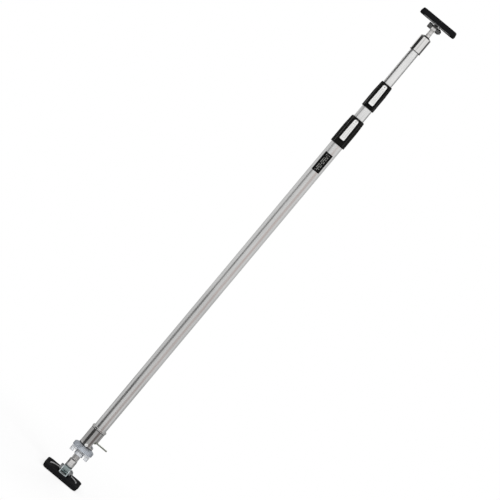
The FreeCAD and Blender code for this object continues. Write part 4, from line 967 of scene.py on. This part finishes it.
# The room that only the object's metal shows, band by band from the floor up: the bottom and top of a band
# of its round wall, the wall's colour, and screens before it. A screen stands from one angle to another, in
# degrees to the right of the camera's side.
ROOM_BANDS = [
    (0.00, 0.028, grey(0.75), [(-150, -62, grey(0.05)), (66, 150, grey(0.16))]),
    (0.028, 0.053, grey(1.50), [(-130, -70, grey(0.60)), (70, 125, grey(0.60)), (125, 235, grey(0.08))]),
    (0.053, 0.075, grey(0.52), [(-60, -30, grey(0.20)), (125, 235, grey(0.08))]),
    (0.075, 0.13, grey(0.40), [(-68, -24, grey(0.05)), (22, 55, warm(0.16)), (88, 112, grey(0.22)),
                               (135, 225, grey(0.25))]),
    (0.13, 0.30, grey(0.64), [(-66, -27, grey(0.11)), (22, 60, warm(0.40)), (95, 245, grey(0.42))]),
    (0.30, 0.60, grey(0.62), [(-64, -32, grey(0.17)), (22, 58, warm(0.48)), (100, 245, grey(0.50))]),
    (0.60, 1.10, grey(0.68), [(-62, -36, grey(0.22)), (22, 58, warm(0.52)), (100, 245, grey(0.56))]),
    (1.10, 1.26, grey(0.86), [(-130, -70, grey(0.56)), (-70, -50, grey(0.30)), (100, 200, grey(0.36))]),
    (1.26, 1.412, grey(0.92), [(-118, -58, grey(0.12)), (92, 145, grey(0.40)), (145, 215, grey(0.05))]),
    (1.412, 1.466, grey(0.92), [(-115, -46, grey(0.03)), (-7, 5, grey(0.66)), (84, 140, grey(0.12))]),
    (1.466, 1.486, grey(1.40), [(125, 235, grey(0.04))]),
    (1.486, 1.515, grey(0.40), [(-170, -35, grey(0.04)), (35, 170, grey(0.12)), (170, 190, grey(0.10))]),
    (1.515, 1.75, grey(0.84), [(-66, -36, grey(0.20)), (22, 58, warm(0.60)), (100, 245, grey(0.52))]),
]
WALL_DISTANCE = 0.24
SCREEN_DISTANCE = 0.22
# One more band far out, which shows only where the pole leans or slides out of the room.
FAR_BAND = (-0.5, 4.0, grey(0.66), [(-62, -36, grey(0.20)), (22, 58, warm(0.50)), (100, 245, grey(0.52))])
FAR_WALL_DISTANCE = 2.6
FAR_SCREEN_DISTANCE = 2.5
# A ring on the floor round the foot: its height, inner and outer radius and colour.
FLOOR_RING = (0.001, 0.09, 0.17, grey(0.45))
SCREEN_STEPS = 24


def make_screen(name, start, end, lower, upper, colour):
    """A screen round the pole between two angles. Its two edges are given as distance and height."""
    points = []
    for distance, height in (lower, upper):
        for step in range(SCREEN_STEPS + 1):
            angle = math.radians(start + (end - start) * step / SCREEN_STEPS)
            points.append((distance * math.sin(angle), -distance * math.cos(angle), height))
    row = SCREEN_STEPS + 1
    faces = [(step, step + 1, step + row + 1, step + row) for step in range(SCREEN_STEPS)]
    mesh = bpy.data.meshes.new(name)
    mesh.from_pydata(points, [], faces)
    material = bpy.data.materials.new(name)
    material.use_nodes = True
    tree = material.node_tree
    tree.nodes.remove(tree.nodes["Principled BSDF"])
    glow = add_node(tree, "ShaderNodeEmission", {"Color": opaque(colour), "Strength": 1.0})
    feed(tree, tree.nodes["Material Output"].inputs["Surface"], glow.outputs[0])
    mesh.materials.append(material)
    screen = bpy.data.objects.new(name, mesh)
    scene.collection.objects.link(screen)
    screen.visible_camera = False
    screen.visible_diffuse = False
    screen.visible_shadow = False


def make_band(name, band, wall_distance, screen_distance):
    bottom, top, wall_colour, screens = band
    make_screen(name, -180, 180, (wall_distance, bottom), (wall_distance, top), wall_colour)
    for start, end, colour in screens:
        make_screen(name + "_screen", start, end, (screen_distance, bottom), (screen_distance, top), colour)


def make_room():
    for number, band in enumerate(ROOM_BANDS, 1):
        make_band(f"studio_band_{number}", band, WALL_DISTANCE, SCREEN_DISTANCE)
    make_band("studio_far_band", FAR_BAND, FAR_WALL_DISTANCE, FAR_SCREEN_DISTANCE)
    height, inner, outer, colour = FLOOR_RING
    make_screen("studio_ring", -180, 180, (inner, height), (outer, height), colour)


# The lights: name, place, aim, size in metres, power in watts, and whether shiny faces show the light
LIGHTS = [
    ("key_light", (2.2, -3.4, 3.2), (0, 0, 0.7), 2.4, 75, False),
    ("fill_light", (-3.0, -2.2, 1.6), (0, 0, 0.7), 2.0, 15, False),
    ("top_light", (0.1, 0.9, 2.6), (0, 0, 0), 0.5, 16, True),
]


def add_soft_light(name, place, aim, size, power, mirrored):
    """A round soft light."""
    lamp = bpy.data.lights.new(name, "AREA")
    lamp.shape = "DISK"
    lamp.size = size
    lamp.energy = power
    holder = bpy.data.objects.new(name, lamp)
    scene.collection.objects.link(holder)
    holder.location = place
    holder.rotation_euler = (Vector(aim) - Vector(place)).to_track_quat("-Z", "Y").to_euler()
    holder.visible_glossy = mirrored


CAMERA_PLACE = Vector((0, -7.18, 1.170))
CAMERA_AIM = Vector((0.0017, 0, 0.7552))
POLE_LEAN = math.radians(39.855)
PICTURE_WIDTH = 1.2693
SENSOR_WIDTH = 36.0


def make_camera():
    """The photograph's view: level with the upper half of the pole and rolled, so that the pole leans."""
    forward = (CAMERA_AIM - CAMERA_PLACE).normalized()
    level = forward.cross(Vector((0, 0, 1))).normalized()
    upright = level.cross(forward)
    across = level * math.cos(POLE_LEAN) + upright * math.sin(POLE_LEAN)
    up = upright * math.cos(POLE_LEAN) - level * math.sin(POLE_LEAN)
    lens = bpy.data.cameras.new("photo_view")
    lens.sensor_width = SENSOR_WIDTH
    lens.lens = SENSOR_WIDTH * (CAMERA_AIM - CAMERA_PLACE).length / PICTURE_WIDTH
    camera = bpy.data.objects.new("photo_view", lens)
    scene.collection.objects.link(camera)
    axes = Matrix((across, up, -forward)).transposed()
    camera.matrix_world = Matrix.Translation(CAMERA_PLACE) @ axes.to_4x4()
    scene.camera = camera


make_floor()
make_world()
make_room()
for light in LIGHTS:
    add_soft_light(*light)
make_camera()
scene.view_settings.view_transform = "Standard"
